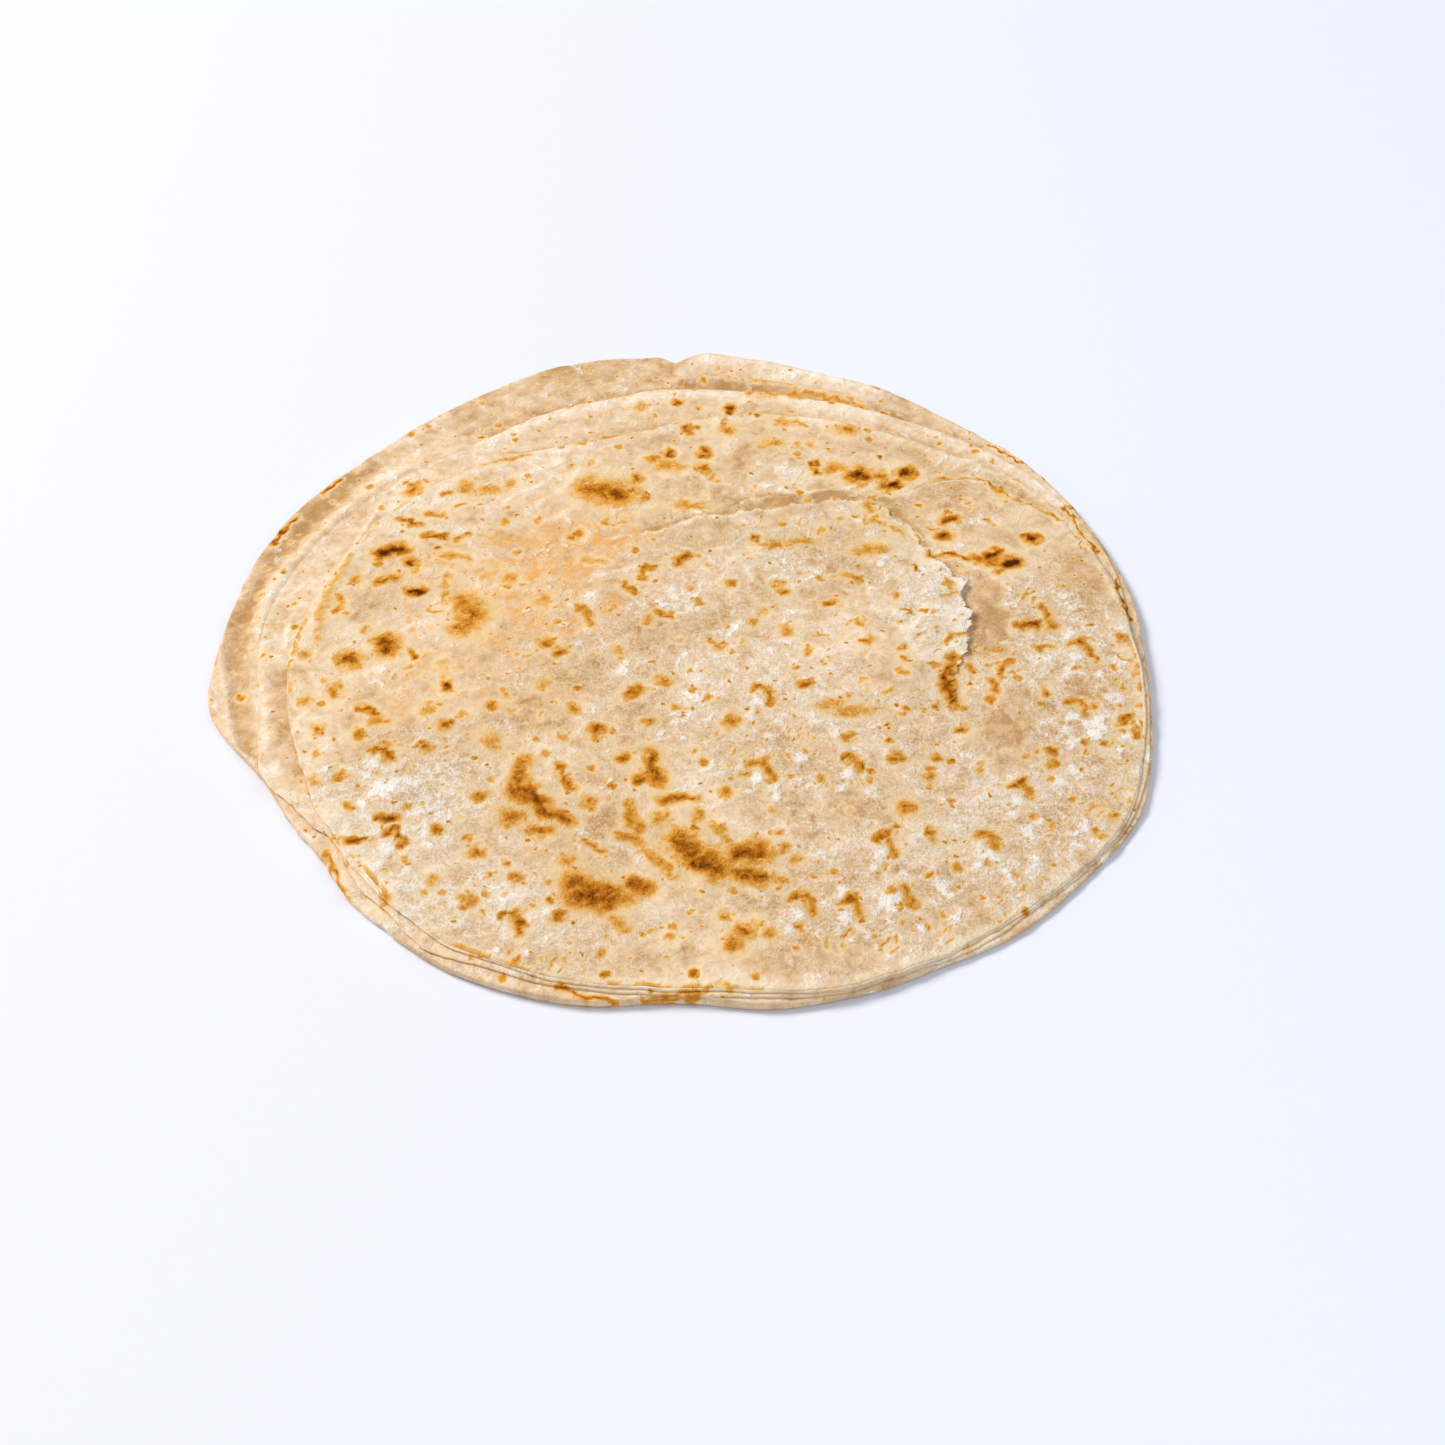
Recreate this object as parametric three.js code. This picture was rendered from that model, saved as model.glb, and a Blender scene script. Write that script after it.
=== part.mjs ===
// A paratha: one round, flaky flatbread, rolled thin and browned on a griddle.
//
// The dough is coiled and rolled out, so the baked bread is a pile of thin leaves that lie on each
// other a little off centre. Along the front and the right their edges come out one above the other
// and make a layered side. At the back and on the left each leaf reaches further than the one above
// it and shows as a broad step. The top sheet is torn along the back, with a rounded flap beside it.
// The bread is thinnest at its front right rim.
//
// Millimetres, +Z up. The origin is the middle of the bread's box, on its flat underside. +X is right
// and -Y is the front. Angles are degrees counted from +X towards +Y.

import * as THREE from "three";

// ---- driving dimensions ----

const MIDDLE_HEIGHT = 5.4; // top of the bread above its underside, at the middle
const RIM_FALL = 0.5; // how much lower the top lies at its rim than at the middle
const LEAF_DROP = 0.8; // step from one leaf down to the next
const TORN_DROP = 0.55; // step at the torn edge of the top sheet, which is thinner
const UPPER_SLOPE = 0.02; // fall of the upper leaf's bare border for each millimetre of its width
const LOWER_SLOPE = 0.045; // the same on the two leaves below it
const THINNEST_RIM = 1.9; // height of the lowest leaf's rim where it reaches out furthest
const GROOVE_DEPTH = 1.1; // how far the gap under a leaf's edge reaches in
const UPPER_SHOWS = 0.9; // least width of the upper leaf's bare border
const LOWER_SHOWS = 0.7; // the same of the two leaves below it
const EDGE_SHARE = 0.3; // share of a leaf's drop that its edge takes up; the gap takes the rest
const SOLE_INSET = 2.2; // how far the flat underside stays inside the outline
const SOLE_RISE = 0.6; // height of the rounded edge between the underside and the side

const SECTORS = 120; // steps round the bread
const TOP_RINGS = 16; // rings from the middle to the edge of the top sheet
const BORDER_RINGS = 4; // rings over each leaf's bare border

// Each leaf is a circle of radius r about (x, y), with bulges of [angle, half width, height].
const LOWEST_LEAF = {
  x: 2,
  y: -2,
  r: 107,
  bulges: [
    [22, 26, -3.2], // flattened right side
    [50, 7, -1.2],
    [69, 6, -0.8],
    [85, 8, 2.2], // right-hand lobe at the back
    [90.5, 1.7, -3.2], // gap between the two lobes
    [104, 12, 3.6], // left-hand lobe at the back
    [136, 12, -2.6],
    [190, 8, 2.8], // left corner
    [209, 13, -6.4], // cut-back flaky stretch at the front left
    [226, 9, -3.2],
    [270, 8, -3.2],
    [288, 10, 1.2],
    [310, 11, 3.2],
    [330, 11, 4.4], // full front right
    [356, 9, -1.4],
  ],
};
const MIDDLE_LEAF = {
  x: 7,
  y: -9,
  r: 100.5,
  bulges: [
    [0, 9, -3.1],
    [38, 16, 1.6],
    [92, 7, 1.4],
    [124, 8, -2.1],
    [172, 24, 4.4], // second band of the left side
    [204, 7, 2.6],
    [219, 10, -2.4],
    [240, 5, 1.7],
    [270, 14, -3.6],
    [306, 11, -0.4],
    [330, 10, 2.3],
  ],
};
const UPPER_LEAF = {
  x: 9,
  y: -13.5,
  r: 96,
  bulges: [
    [26, 16, 3.1],
    [103, 22, -6.9],
    [150, 8, 1.8],
    [180, 16, 2.2],
    [241, 7, 1.5],
    [272, 14, -4.3],
    [306, 11, -1.6],
    [330, 10, 2.4],
  ],
};

// The bread gets thinner towards its rim along the front and most at the front right:
// [angle, half width, depth].
const THINNING = [
  [258, 24, 0.7],
  [318, 26, 2.7],
];
const THINNING_FROM = 48; // distance from the origin where the thinning starts
const THINNING_TO = 110; // and where it is full
const DROP_LOSS = 0.22; // share of a leaf's drop lost for each millimetre of thinning
const RIM_LOSS = 0.35; // how much the least height of the lowest rim falls for the same

// The top sheet lies inside the upper leaf's rim and is torn off along the back.
const TORN_LINE = 43; // distance of the tear from the origin, along +Y
const TORN_WAVES = [
  [0.9, 9, 0.4],
  [0.6, 17, 1.9],
]; // [height, waves round the bread, phase] of the ragged tear
const TEAR_RIGHT = 42; // angle of the notch where the tear meets the flap
const TEAR_LEFT = 112; // angle past which the tear fades away
const TEAR_FADE = 34; // how many degrees the fading takes
const FLAP = { from: 20, middle: 33, reach: 92, slant: 0.75 }; // rounded flap right of the notch

// Soft shapes on the top: [x, y, radius, height].
const SWELLINGS = [
  [-62.7, -51.8, 4.5, 1.0], // blister near the front left
  [-38.7, 36.2, 5.0, -0.7], // dent
  [63, -19, 4.5, 0.5], // lifted flake
  [-18, 52, 13, 0.5], // browned hump
  [-20, -79, 11, 0.4],
  [-34, -46, 10, 0.35],
  [4, -70, 11, 0.4],
  [74, 24, 10, 0.35],
  [-48, 6, 9, 0.35],
];
const TEAR_HOLE = { x: 70.5, y: 4, rx: 6, ry: 16, depth: 0.6, from: 0.8, to: 1.2 }; // patch without its flake
const ROLLING = [
  [0.22, 1 / 19, 1 / 27, 0.6],
  [0.17, -1 / 31, 1 / 15, 2.1],
  [0.13, 1 / 11, -1 / 13, 4.0],
]; // [height, waves along x, waves along y, phase] of the soft rolling of the top
const FOLDS = { from: 128, to: 204, fade: 18, height: 0.55 }; // ridges that follow the rim on the left
const BACK_LOBE = { from: 62, to: 90, before: 10, after: 3, rise: 0.6, lip: 0.6 }; // folded over at the back

// ---- outlines ----

const radians = THREE.MathUtils.degToRad;

// Signed difference between two angles, from -180 to 180 degrees.
function turn(from, to) {
  return THREE.MathUtils.euclideanModulo(to - from + 180, 360) - 180;
}

function bell(distance, halfWidth) {
  return Math.exp(-((distance / halfWidth) ** 2));
}

// Distance from the origin to a leaf's rim at an angle.
function leafRim(leaf, angle) {
  const along = leaf.x * Math.cos(radians(angle)) + leaf.y * Math.sin(radians(angle));
  const circle = along + Math.sqrt(leaf.r ** 2 - leaf.x ** 2 - leaf.y ** 2 + along ** 2);
  const bulge = ([at, halfWidth, height]) => height * bell(turn(at, angle), halfWidth);
  return leaf.bulges.reduce((rim, each) => rim + bulge(each), circle);
}

// 1 where the top sheet is torn off in full, falling to 0 where the tear fades out.
function tornShare(angle) {
  const past = Math.abs(turn((FLAP.from + TEAR_LEFT) / 2, angle)) - (TEAR_LEFT - FLAP.from) / 2;
  return 1 - THREE.MathUtils.smoothstep(past, 0, TEAR_FADE);
}

// Distance from the origin to the edge of the top sheet at an angle.
function topSheetRim(angle) {
  const whole = leafRim(UPPER_LEAF, angle) - GROOVE_DEPTH;
  const share = tornShare(angle);
  if (share === 0) {
    return whole;
  }
  const ragged = TORN_WAVES.reduce((sum, [h, n, phase]) => sum + h * Math.sin(n * radians(angle) + phase), 0);
  const tear = TORN_LINE / Math.max(Math.sin(radians(angle)), 0.3) + ragged;
  const flap = FLAP.reach + FLAP.slant * turn(angle, FLAP.middle);
  const onFlap = THREE.MathUtils.smoothstep(turn(angle, TEAR_RIGHT), -1.5, 1.5);
  return Math.min(whole, THREE.MathUtils.lerp(whole, THREE.MathUtils.lerp(tear, flap, onFlap), share));
}

// ---- height of the top ----

// How much thinner the bread is at its rim, at an angle.
function rimThinning(angle) {
  return THINNING.reduce((sum, [at, halfWidth, depth]) => sum + depth * bell(turn(at, angle), halfWidth), 0);
}

function topHeight(x, y) {
  const angle = THREE.MathUtils.radToDeg(Math.atan2(y, x));
  const thinning = rimThinning(angle) * THREE.MathUtils.smoothstep(Math.hypot(x, y), THINNING_FROM, THINNING_TO);
  const fall = RIM_FALL * (Math.hypot(x - UPPER_LEAF.x, y - UPPER_LEAF.y) / UPPER_LEAF.r) ** 2;
  const wave = ([h, u, v, phase]) => h * Math.sin(u * x + v * y + phase);
  const rolling = ROLLING.reduce((sum, each) => sum + wave(each), 0);
  const swell = ([cx, cy, r, h]) => h * bell(Math.hypot(x - cx, y - cy), r);
  const swelling = SWELLINGS.reduce((sum, each) => sum + swell(each), 0);
  const inHole = Math.hypot((x - TEAR_HOLE.x) / TEAR_HOLE.rx, (y - TEAR_HOLE.y) / TEAR_HOLE.ry);
  const hole = TEAR_HOLE.depth * (1 - THREE.MathUtils.smoothstep(inHole, TEAR_HOLE.from, TEAR_HOLE.to));
  return MIDDLE_HEIGHT - fall - thinning + rolling + swelling - hole;
}

// 1 from one angle to another, falling to 0 within a number of degrees before and after them.
function between(angle, from, to, before, after) {
  const entered = THREE.MathUtils.smoothstep(angle, from - before, from);
  return entered * (1 - THREE.MathUtils.smoothstep(angle, to, to + after));
}

// ---- the section at one angle, as [radius, height] from the middle of the top to the underside ----

// The top sheet, out to its edge and down to the leaf under it.
function topSheetPoints(angle, rim) {
  const at = (radius) => topHeight(radius * Math.cos(radians(angle)), radius * Math.sin(radians(angle)));
  const drop = TORN_DROP * Math.max(tornShare(angle), 0.4);
  const points = [];
  for (let ring = 1; ring <= TOP_RINGS; ring += 1) {
    const radius = (rim * ring) / (TOP_RINGS + 0.4);
    points.push([radius, at(radius)]);
  }
  points.push([rim, at(rim) - EDGE_SHARE * drop]);
  points.push([rim + EDGE_SHARE, at(rim) - drop]);
  return points;
}

// The bare border of a leaf, from where it comes out to just short of its rim.
function borderPoints([inner, height], rim, rimHeight, rise) {
  const points = [];
  for (let ring = 1; ring <= BORDER_RINGS; ring += 1) {
    const part = ring / (BORDER_RINGS + 0.3);
    points.push([inner + (rim - inner) * part, THREE.MathUtils.lerp(height, rimHeight, part) + rise(part)]);
  }
  return points;
}

function section(angle) {
  const sheetRim = topSheetRim(angle);
  const upperRim = Math.max(leafRim(UPPER_LEAF, angle), sheetRim + UPPER_SHOWS);
  const middleRim = Math.max(leafRim(MIDDLE_LEAF, angle), upperRim + LOWER_SHOWS);
  const lowestRim = Math.max(leafRim(LOWEST_LEAF, angle), middleRim + LOWER_SHOWS);

  const folds = FOLDS.height * between(angle, FOLDS.from, FOLDS.to, FOLDS.fade, FOLDS.fade);
  const ridge = (part, width) => folds * Math.min(width / 8, 1) * Math.sin(Math.PI * part) ** 2;
  const lobe = between(angle, BACK_LOBE.from, BACK_LOBE.to, BACK_LOBE.before, BACK_LOBE.after);
  const lobeRise = (part) => lobe * (BACK_LOBE.rise + BACK_LOBE.lip * bell(part - 0.25, 0.25));
  const lowestRise = (part) => ridge(part, lowestRim - middleRim) + lobeRise(part);
  const borders = [
    { rim: upperRim, slope: UPPER_SLOPE, rise: () => 0 },
    { rim: middleRim, slope: LOWER_SLOPE, rise: (part) => ridge(part, middleRim - upperRim) },
    { rim: lowestRim, slope: LOWER_SLOPE, rise: lowestRise },
  ];

  const thinning = rimThinning(angle);
  const leafDrop = LEAF_DROP * (1 - DROP_LOSS * thinning);
  const leastHeight = THINNEST_RIM - RIM_LOSS * thinning;

  const points = topSheetPoints(angle, sheetRim);
  let rimHeight = 0;
  for (const { rim, slope, rise } of borders) {
    const start = points.at(-1);
    rimHeight = Math.max(start[1] - slope * (rim - start[0]), leastHeight);
    points.push(...borderPoints(start, rim, rimHeight, rise));
    if (rim !== lowestRim) {
      points.push([rim, rimHeight - EDGE_SHARE * leafDrop]);
      points.push([rim - GROOVE_DEPTH, rimHeight - leafDrop]);
    }
  }

  // The rounded side of the lowest leaf, down to the flat underside.
  const side = rimHeight + lobe * BACK_LOBE.rise - SOLE_RISE;
  points.push([lowestRim, SOLE_RISE + 0.8 * side]);
  points.push([lowestRim - 0.1, SOLE_RISE + 0.3 * side]);
  points.push([lowestRim - 0.35 * SOLE_INSET, 0.35 * SOLE_RISE]);
  points.push([lowestRim - SOLE_INSET, 0]);
  return points;
}

// ---- the closed body ----

function breadGeometry() {
  const vertices = [];
  for (let sector = 0; sector < SECTORS; sector += 1) {
    const angle = (360 * sector) / SECTORS;
    for (const [radius, height] of section(angle)) {
      vertices.push(radius * Math.cos(radians(angle)), radius * Math.sin(radians(angle)), height);
    }
  }
  const rings = vertices.length / 3 / SECTORS;
  const topMiddle = SECTORS * rings;
  const underMiddle = topMiddle + 1;
  vertices.push(0, 0, topHeight(0, 0));
  vertices.push(0, 0, 0);

  const faces = [];
  for (let sector = 0; sector < SECTORS; sector += 1) {
    const here = sector * rings;
    const next = ((sector + 1) % SECTORS) * rings;
    faces.push(topMiddle, here, next);
    for (let ring = 0; ring < rings - 1; ring += 1) {
      faces.push(here + ring, here + ring + 1, next + ring + 1);
      faces.push(here + ring, next + ring + 1, next + ring);
    }
    faces.push(underMiddle, next + rings - 1, here + rings - 1);
  }

  const geometry = new THREE.BufferGeometry();
  geometry.setAttribute("position", new THREE.Float32BufferAttribute(vertices, 3));
  geometry.setIndex(faces);
  geometry.computeBoundingBox();
  const middle = geometry.boundingBox.getCenter(new THREE.Vector3());
  geometry.translate(-middle.x, -middle.y, 0);
  geometry.computeVertexNormals();
  return geometry;
}

const crust = new THREE.MeshStandardMaterial({ color: 0xd9b88c, roughness: 0.7, metalness: 0 });
const bread = new THREE.Mesh(breadGeometry(), crust);
bread.name = "paratha";

const model = new THREE.Group();
model.add(bread);

export default model;
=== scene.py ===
# A paratha: a round, flaky flatbread of thin leaves of dough, browned on a griddle.
#
# Shapes are worked out in millimetres about a point near the middle of the bread, on its flat
# underside: +X right, -Y front, +Z up, and angles in degrees from +X towards +Y. Each leaf goes into
# its mesh in metres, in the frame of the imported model.

import bpy
import numpy as np
from mathutils import Matrix, Vector


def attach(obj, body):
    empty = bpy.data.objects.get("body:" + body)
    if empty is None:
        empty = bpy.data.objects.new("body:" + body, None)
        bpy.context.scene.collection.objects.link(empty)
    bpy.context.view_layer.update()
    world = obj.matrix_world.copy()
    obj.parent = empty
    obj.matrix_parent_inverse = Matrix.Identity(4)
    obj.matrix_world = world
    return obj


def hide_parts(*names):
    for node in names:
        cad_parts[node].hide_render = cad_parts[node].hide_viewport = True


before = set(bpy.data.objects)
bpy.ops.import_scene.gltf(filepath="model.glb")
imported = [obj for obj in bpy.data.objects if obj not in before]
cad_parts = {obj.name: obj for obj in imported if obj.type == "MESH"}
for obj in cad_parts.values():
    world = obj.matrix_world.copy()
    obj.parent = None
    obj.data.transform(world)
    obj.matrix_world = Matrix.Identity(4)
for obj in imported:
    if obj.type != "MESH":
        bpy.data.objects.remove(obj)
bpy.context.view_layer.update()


# ---- The camera ------------------------------------------------------------------------------
# It looks down at the bread from the front, 45 degrees above the table, through a long lens. Its
# distance and what it looks at are in metres.

LENS = 75.0
SENSOR_WIDTH = 36.0
ELEVATION = np.radians(45.05)
DISTANCE = 0.683
AIM = np.array([0.00989, -0.01917, -0.0045])
ROLL = -0.012

eye = bpy.data.cameras.new("eye")
eye.lens = LENS
eye.sensor_width = SENSOR_WIDTH
camera = bpy.data.objects.new("camera", eye)
bpy.context.scene.collection.objects.link(camera)
backwards = np.array([0.0, -np.cos(ELEVATION), np.sin(ELEVATION)])
camera.matrix_world = (
    Matrix.Translation(AIM + DISTANCE * backwards)
    @ Matrix.Rotation(np.pi / 2 - ELEVATION, 4, "X")
    @ Matrix.Rotation(ROLL, 4, "Z")
)
bpy.context.scene.camera = camera


# ---- The lowest leaf -------------------------------------------------------------------------
# The biggest and thickest leaf of dough, which the others lie on. Its pale side stands 3 mm high at
# the front. On the left its rim is raised in a long fold, and at the back right a lobe of it is
# folded over and lies on top, with a golden lip and a dark slit inside it.

SECTORS = 1200
ANGLES = np.arange(SECTORS) * 360.0 / SECTORS
CROWN = (4.3, -9.8)  # folds, marks and patches of the dough are placed from this point

# A leaf is a circle of radius r about (x, y), with bulges of [angle, half width, height].
LOWEST_LEAF = (2, -2, 107, [
    (22, 26, -3.2), (50, 7, -1.2), (69, 6, -0.8), (85, 8, 2.2), (90.5, 1.7, -3.2), (104, 12, 3.6),
    (136, 12, -2.6), (190, 8, 2.8), (209, 13, -6.4), (226, 9, -3.2), (270, 8, -3.2), (288, 10, 1.2),
    (310, 11, 3.2), (330, 11, 4.4), (356, 9, -1.4),
])
MIDDLE_LEAF = (7, -9, 100.5, [
    (0, 9, -3.1), (38, 16, 1.6), (92, 7, 1.4), (124, 8, -2.1), (172, 24, 4.4), (204, 7, 2.6),
    (219, 10, -2.4), (240, 5, 1.7), (270, 14, -3.6), (306, 11, -0.4), (330, 10, 2.3),
])
UPPER_LEAF = (9, -13.5, 96, [
    (26, 16, 3.1), (103, 22, -6.9), (150, 8, 1.8), (180, 16, 2.2), (241, 7, 1.5), (272, 14, -4.3),
    (306, 11, -1.6), (330, 10, 2.4),
])


def turn(start, end):
    """Signed angle from start to end, from -180 to 180 degrees."""
    return (end - start + 180.0) % 360.0 - 180.0


def bell(distance, half_width):
    """1 at distance 0, and exp(-(distance / half_width)^2) away from it."""
    return np.exp(-((distance / half_width) ** 2))


def ease(value, low, high):
    """0 below low, 1 above high, and t^2 (3 - 2 t) of the share t between them."""
    t = np.clip((value - low) / (high - low), 0.0, 1.0)
    return t * t * (3.0 - 2.0 * t)


def stretch(angle, start, end, fade):
    """1 from the angle start to end, falling to 0 within fade degrees on either side."""
    middle = start + ((end - start) % 360.0) / 2.0
    past = np.abs(turn(middle, angle)) - ((end - start) % 360.0) / 2.0
    return 1.0 - ease(past, 0.0, fade)


def along_rim(angle, base, *stretches):
    """base all round the rim, and more in each stretch of (amount, start, end, fade)."""
    total = base
    for amount, start, end, fade in stretches:
        total = total + amount * stretch(angle, start, end, fade)
    return total


def point(radius, angle):
    """x and y of a point given by its radius and angle."""
    return radius * np.cos(np.radians(angle)), radius * np.sin(np.radians(angle))


def round_rim(leaf, angle):
    """Distance from the origin to a leaf's rim: a circle about (x, y) seen from the origin, with a
    bell added for each bulge."""
    x, y, r, bulges = leaf
    along = x * np.cos(np.radians(angle)) + y * np.sin(np.radians(angle))
    rim = along + np.sqrt(r**2 - x**2 - y**2 + along**2)
    for at, half_width, height in bulges:
        rim = rim + height * bell(turn(at, angle), half_width)
    return rim


def unevenness(x, y, size, seed, waves=22):
    """Random unevenness of the given size: a sum of sine waves of random directions and phases,
    with lengths from 0.7 to 1.5 sizes. Its spread is about 1."""
    draw = np.random.default_rng(seed)
    total = np.zeros(np.broadcast(x, y).shape)
    for _ in range(waves):
        way, phase = draw.uniform(0.0, 2.0 * np.pi, 2)
        pitch = 2.0 * np.pi / (size * draw.uniform(0.7, 1.5))
        total += np.sin(pitch * (x * np.cos(way) + y * np.sin(way)) + phase)
    return total * np.sqrt(2.0 / waves)


def frill(angle, size, seed):
    """Random unevenness round the rim, of the given size in millimetres along a circle of 100 mm."""
    return unevenness(*point(100.0, angle), size, seed)


# The rims, from the lowest leaf up. Along the front and the right they are nearly flush: each lies
# at least its own step inside the one below.
MIDDLE_STEP, UPPER_STEP = 0.35, 0.3
lowest_rim = round_rim(LOWEST_LEAF, ANGLES)
middle_rim = np.minimum(round_rim(MIDDLE_LEAF, ANGLES), lowest_rim - MIDDLE_STEP)
upper_rim = np.minimum(round_rim(UPPER_LEAF, ANGLES), middle_rim - UPPER_STEP)

MIDDLE_HEIGHT = 5.4  # of the bread in its middle
RIM_FALL = 0.5  # how much lower its top is at the rim
PILLOWS, FINE_PILLOWS, PUFF_HEIGHT = 0.1, 0.045, 0.22  # heights of the small relief
SWELLINGS = [  # x, y, radius, height
    (-62.7, -51.8, 4.5, 1.0), (-38.7, 36.2, 5.0, -0.7), (-18, 52, 13, 0.5), (-20, -79, 11, 0.4),
    (-34, -46, 10, 0.35), (4, -70, 11, 0.4), (74, 24, 10, 0.35), (-48, 6, 9, 0.35),
]
ROLLING = [  # height, waves along x, waves along y, phase
    (0.22, 1 / 19, 1 / 27, 0.6), (0.17, -1 / 31, 1 / 15, 2.1), (0.13, 1 / 11, -1 / 13, 4.0),
]
FLAKE_HOLE = (70.5, 4.0, 6.0, 16.0, 0.45)  # x, y, half width, half length, depth
THINNING = [(258, 24, 0.7), (318, 26, 2.7)]  # sides with a thinner rim: angle, half width, depth
THINNING_STARTS, THINNING_ENDS = 48.0, 110.0  # radii


def rim_thinning(angle):
    """How much thinner the bread is at its rim: the sum of a bell for each thin side."""
    return sum(depth * bell(turn(at, angle), half_width) for at, half_width, depth in THINNING)


def thinning(x, y):
    """How much thinner the bread is at each point: the rim's thinning, coming on with the radius."""
    share = ease(np.hypot(x, y), THINNING_STARTS, THINNING_ENDS)
    return rim_thinning(np.degrees(np.arctan2(y, x))) * share


def top_height(x, y, hole=1.0):
    """Height of the bread's top: a low dome over the upper leaf, thinner at the front right, with
    three long waves, a bell for each swelling and a shallow oval patch where a flake has come off.
    The hole is left out, with hole at 0, for the flake's own skin."""
    cx, cy, reach = UPPER_LEAF[:3]
    dome = MIDDLE_HEIGHT - RIM_FALL * (np.hypot(x - cx, y - cy) / reach) ** 2 - thinning(x, y)
    for height, along, across, phase in ROLLING:
        dome = dome + height * np.sin(along * x + across * y + phase)
    for cx, cy, radius, height in SWELLINGS:
        dome = dome + height * bell(np.hypot(x - cx, y - cy), radius)
    hx, hy, half_width, half_length, depth = FLAKE_HOLE
    inside = np.hypot((x - hx) / half_width, (y - hy) / half_length)
    return dome - hole * depth * (1.0 - ease(inside, 0.8, 1.2))


def from_line(x, y, line):
    """Distance of each point from a line through the given points, which are from the crown, or from
    the one point given: the least of the distances from its straight parts."""
    nearest = np.full(np.broadcast(x, y).shape, 1e3)
    points = np.reshape(line, (-1, 2)) + CROWN
    if len(points) == 1:
        points = np.repeat(points, 2, 0)
    for (x1, y1), (x2, y2) in zip(points[:-1], points[1:]):
        dx, dy = x2 - x1, y2 - y1
        share = np.clip(((x - x1) * dx + (y - y1) * dy) / max(dx * dx + dy * dy, 1e-9), 0.0, 1.0)
        nearest = np.minimum(nearest, np.hypot(x - x1 - share * dx, y - y1 - share * dy))
    return nearest


# Folds and troughs of the dough: half width, height, paleness, and x and y of each point of the line.
# The paleness is partly the dough's own colour and partly painted light: painted highlights along ridges
# and lit edges, and painted shade in troughs and below edges.
FOLDS = [
    (1.1, 0.45, 1, -110, 14, -109, 6, -107.6, -2, -106, -9, -104.4, -17, -102, -24, -98, -28),
    (
        2.3, -0.45, -1.1, -79, 73, -86, 64.5, -93, 53, -99.5, 41, -104, 27, -105.9, 16, -105.5, 6, -104, -5,
        -102, -15, -99.5, -23,
    ),
    (
        2.1, 0.6, 1, -72, 71, -79, 66, -86, 55, -92.5, 44, -98, 34, -100.5, 24, -100.5, 13.5, -99, 3.5,
        -97.5, -9.5, -95.5, -21,
    ),
    (2.3, -0.3, -1.3, -93.4, -1, -92.8, -11, -91.8, -19),
    (0.8, 0.2, 0.8, -94, 18, -94.6, 8),
    (1.6, 0.3, -0.5, -81.7, 36.4, -85, 28, -87.3, 19, -87, 9),
    (0.7, 0.3, 0.9, -88, 27, -84, 35, -81, 42.5, -76.5, 55.8, -75, 62, -72, 66),
    (0.5, -0.3, -1.2, -46, 76.6, -42.3, 77, -39.4, 77.3),
    (0.5, -0.3, -1.2, -38.3, 74.6, -35.4, 75, -32.5, 74.5),
    (1.4, 0.35, 1.4, -43, 65, -39.5, 68, -36, 70.4, -33, 72),
    (0.8, 0.2, 1.2, -46, 57, -39, 61.5, -35, 65),
    (0.9, 0.25, 1.3, -37.6, 55, -35, 58.4, -30.7, 63, -28.4, 69),
    (0.8, 0.2, 1.6, -34.6, 50, -31, 52.5, -28, 57),
    (0.6, 0.2, 1.3, -21.6, 42, -15.4, 44, -9, 45, -5.5, 47),
    (0.6, -0.15, -0.9, -21, 41, -15, 42.8, -8, 43.6),
    (1.3, 0.3, 1, 65.6, 71.5, 69.5, 69.7, 73.6, 67.9, 76.2, 63.4, 78, 60.4, 82, 56, 84.4, 52),
    (1.8, -0.35, -1.3, 71, 67, 74, 64, 77, 59.8, 80.5, 56, 83.4, 52),
    # The next line is the tan band along the back tear, which is partly painted shade. The one after it is
    # a painted highlight on the tear's edge.
    (1.6, -0.25, -2, 18, 57, 24, 57, 28, 57.6, 34, 58.6, 40, 59.5, 45.5, 57.5),
    (0.6, 0.2, 1.5, 20, 61, 23, 59.6, 27, 58.8, 29, 60.2, 35.5, 61.4, 46, 62.3, 50, 60.8),
    (0.6, -0.35, -1, 2.4, -67, 6.7, -67.2, 9.6, -69.2, 11.4, -71.6),
    (0.6, 0.2, 1, 3, -65.7, 7.3, -65.7, 10.8, -68, 13, -71),
    (0.6, 0.15, 0.9, -38, -22, -34, -26, -27, -27, -20, -32),
    (0.5, -0.25, -0.9, 22, -44, 25, -47.7, 25.5, -52.6, 23, -56.6),
    (0.5, 0.2, 1, 2, 38, 10, 39.5, 18, 38, 26, 41),
    (0.5, 0.2, 1, -30, 24, -22, 30, -12, 33, -2, 31),
]
# The white puffs of a bent mark, painted as flour and as the highlight on each raised bubble: x and y from
# the mark, and the size. Then its thin ridge's line.
PUFFS = ((-1.4, -4.4, 2.3), (3.2, -9.9, 1.7), (-2.9, -8.6, 1.5), (8.5, 1.5, 2.8))
PUFF_RIDGE = ((-2.9, 0.6), (-1.6, 2.2), (0.2, 3.0), (1.8, 3.2))


def folds(x, y, part=1):
    """Height of the folds at each point, and, if part is 2, their paleness, which is partly painted
    highlight and shade: bells across their lines.
    """
    total = np.zeros(np.broadcast(x, y).shape)
    for fold in FOLDS:
        total += fold[part] * bell(from_line(x, y, fold[3:]), fold[0])
    return total


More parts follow.
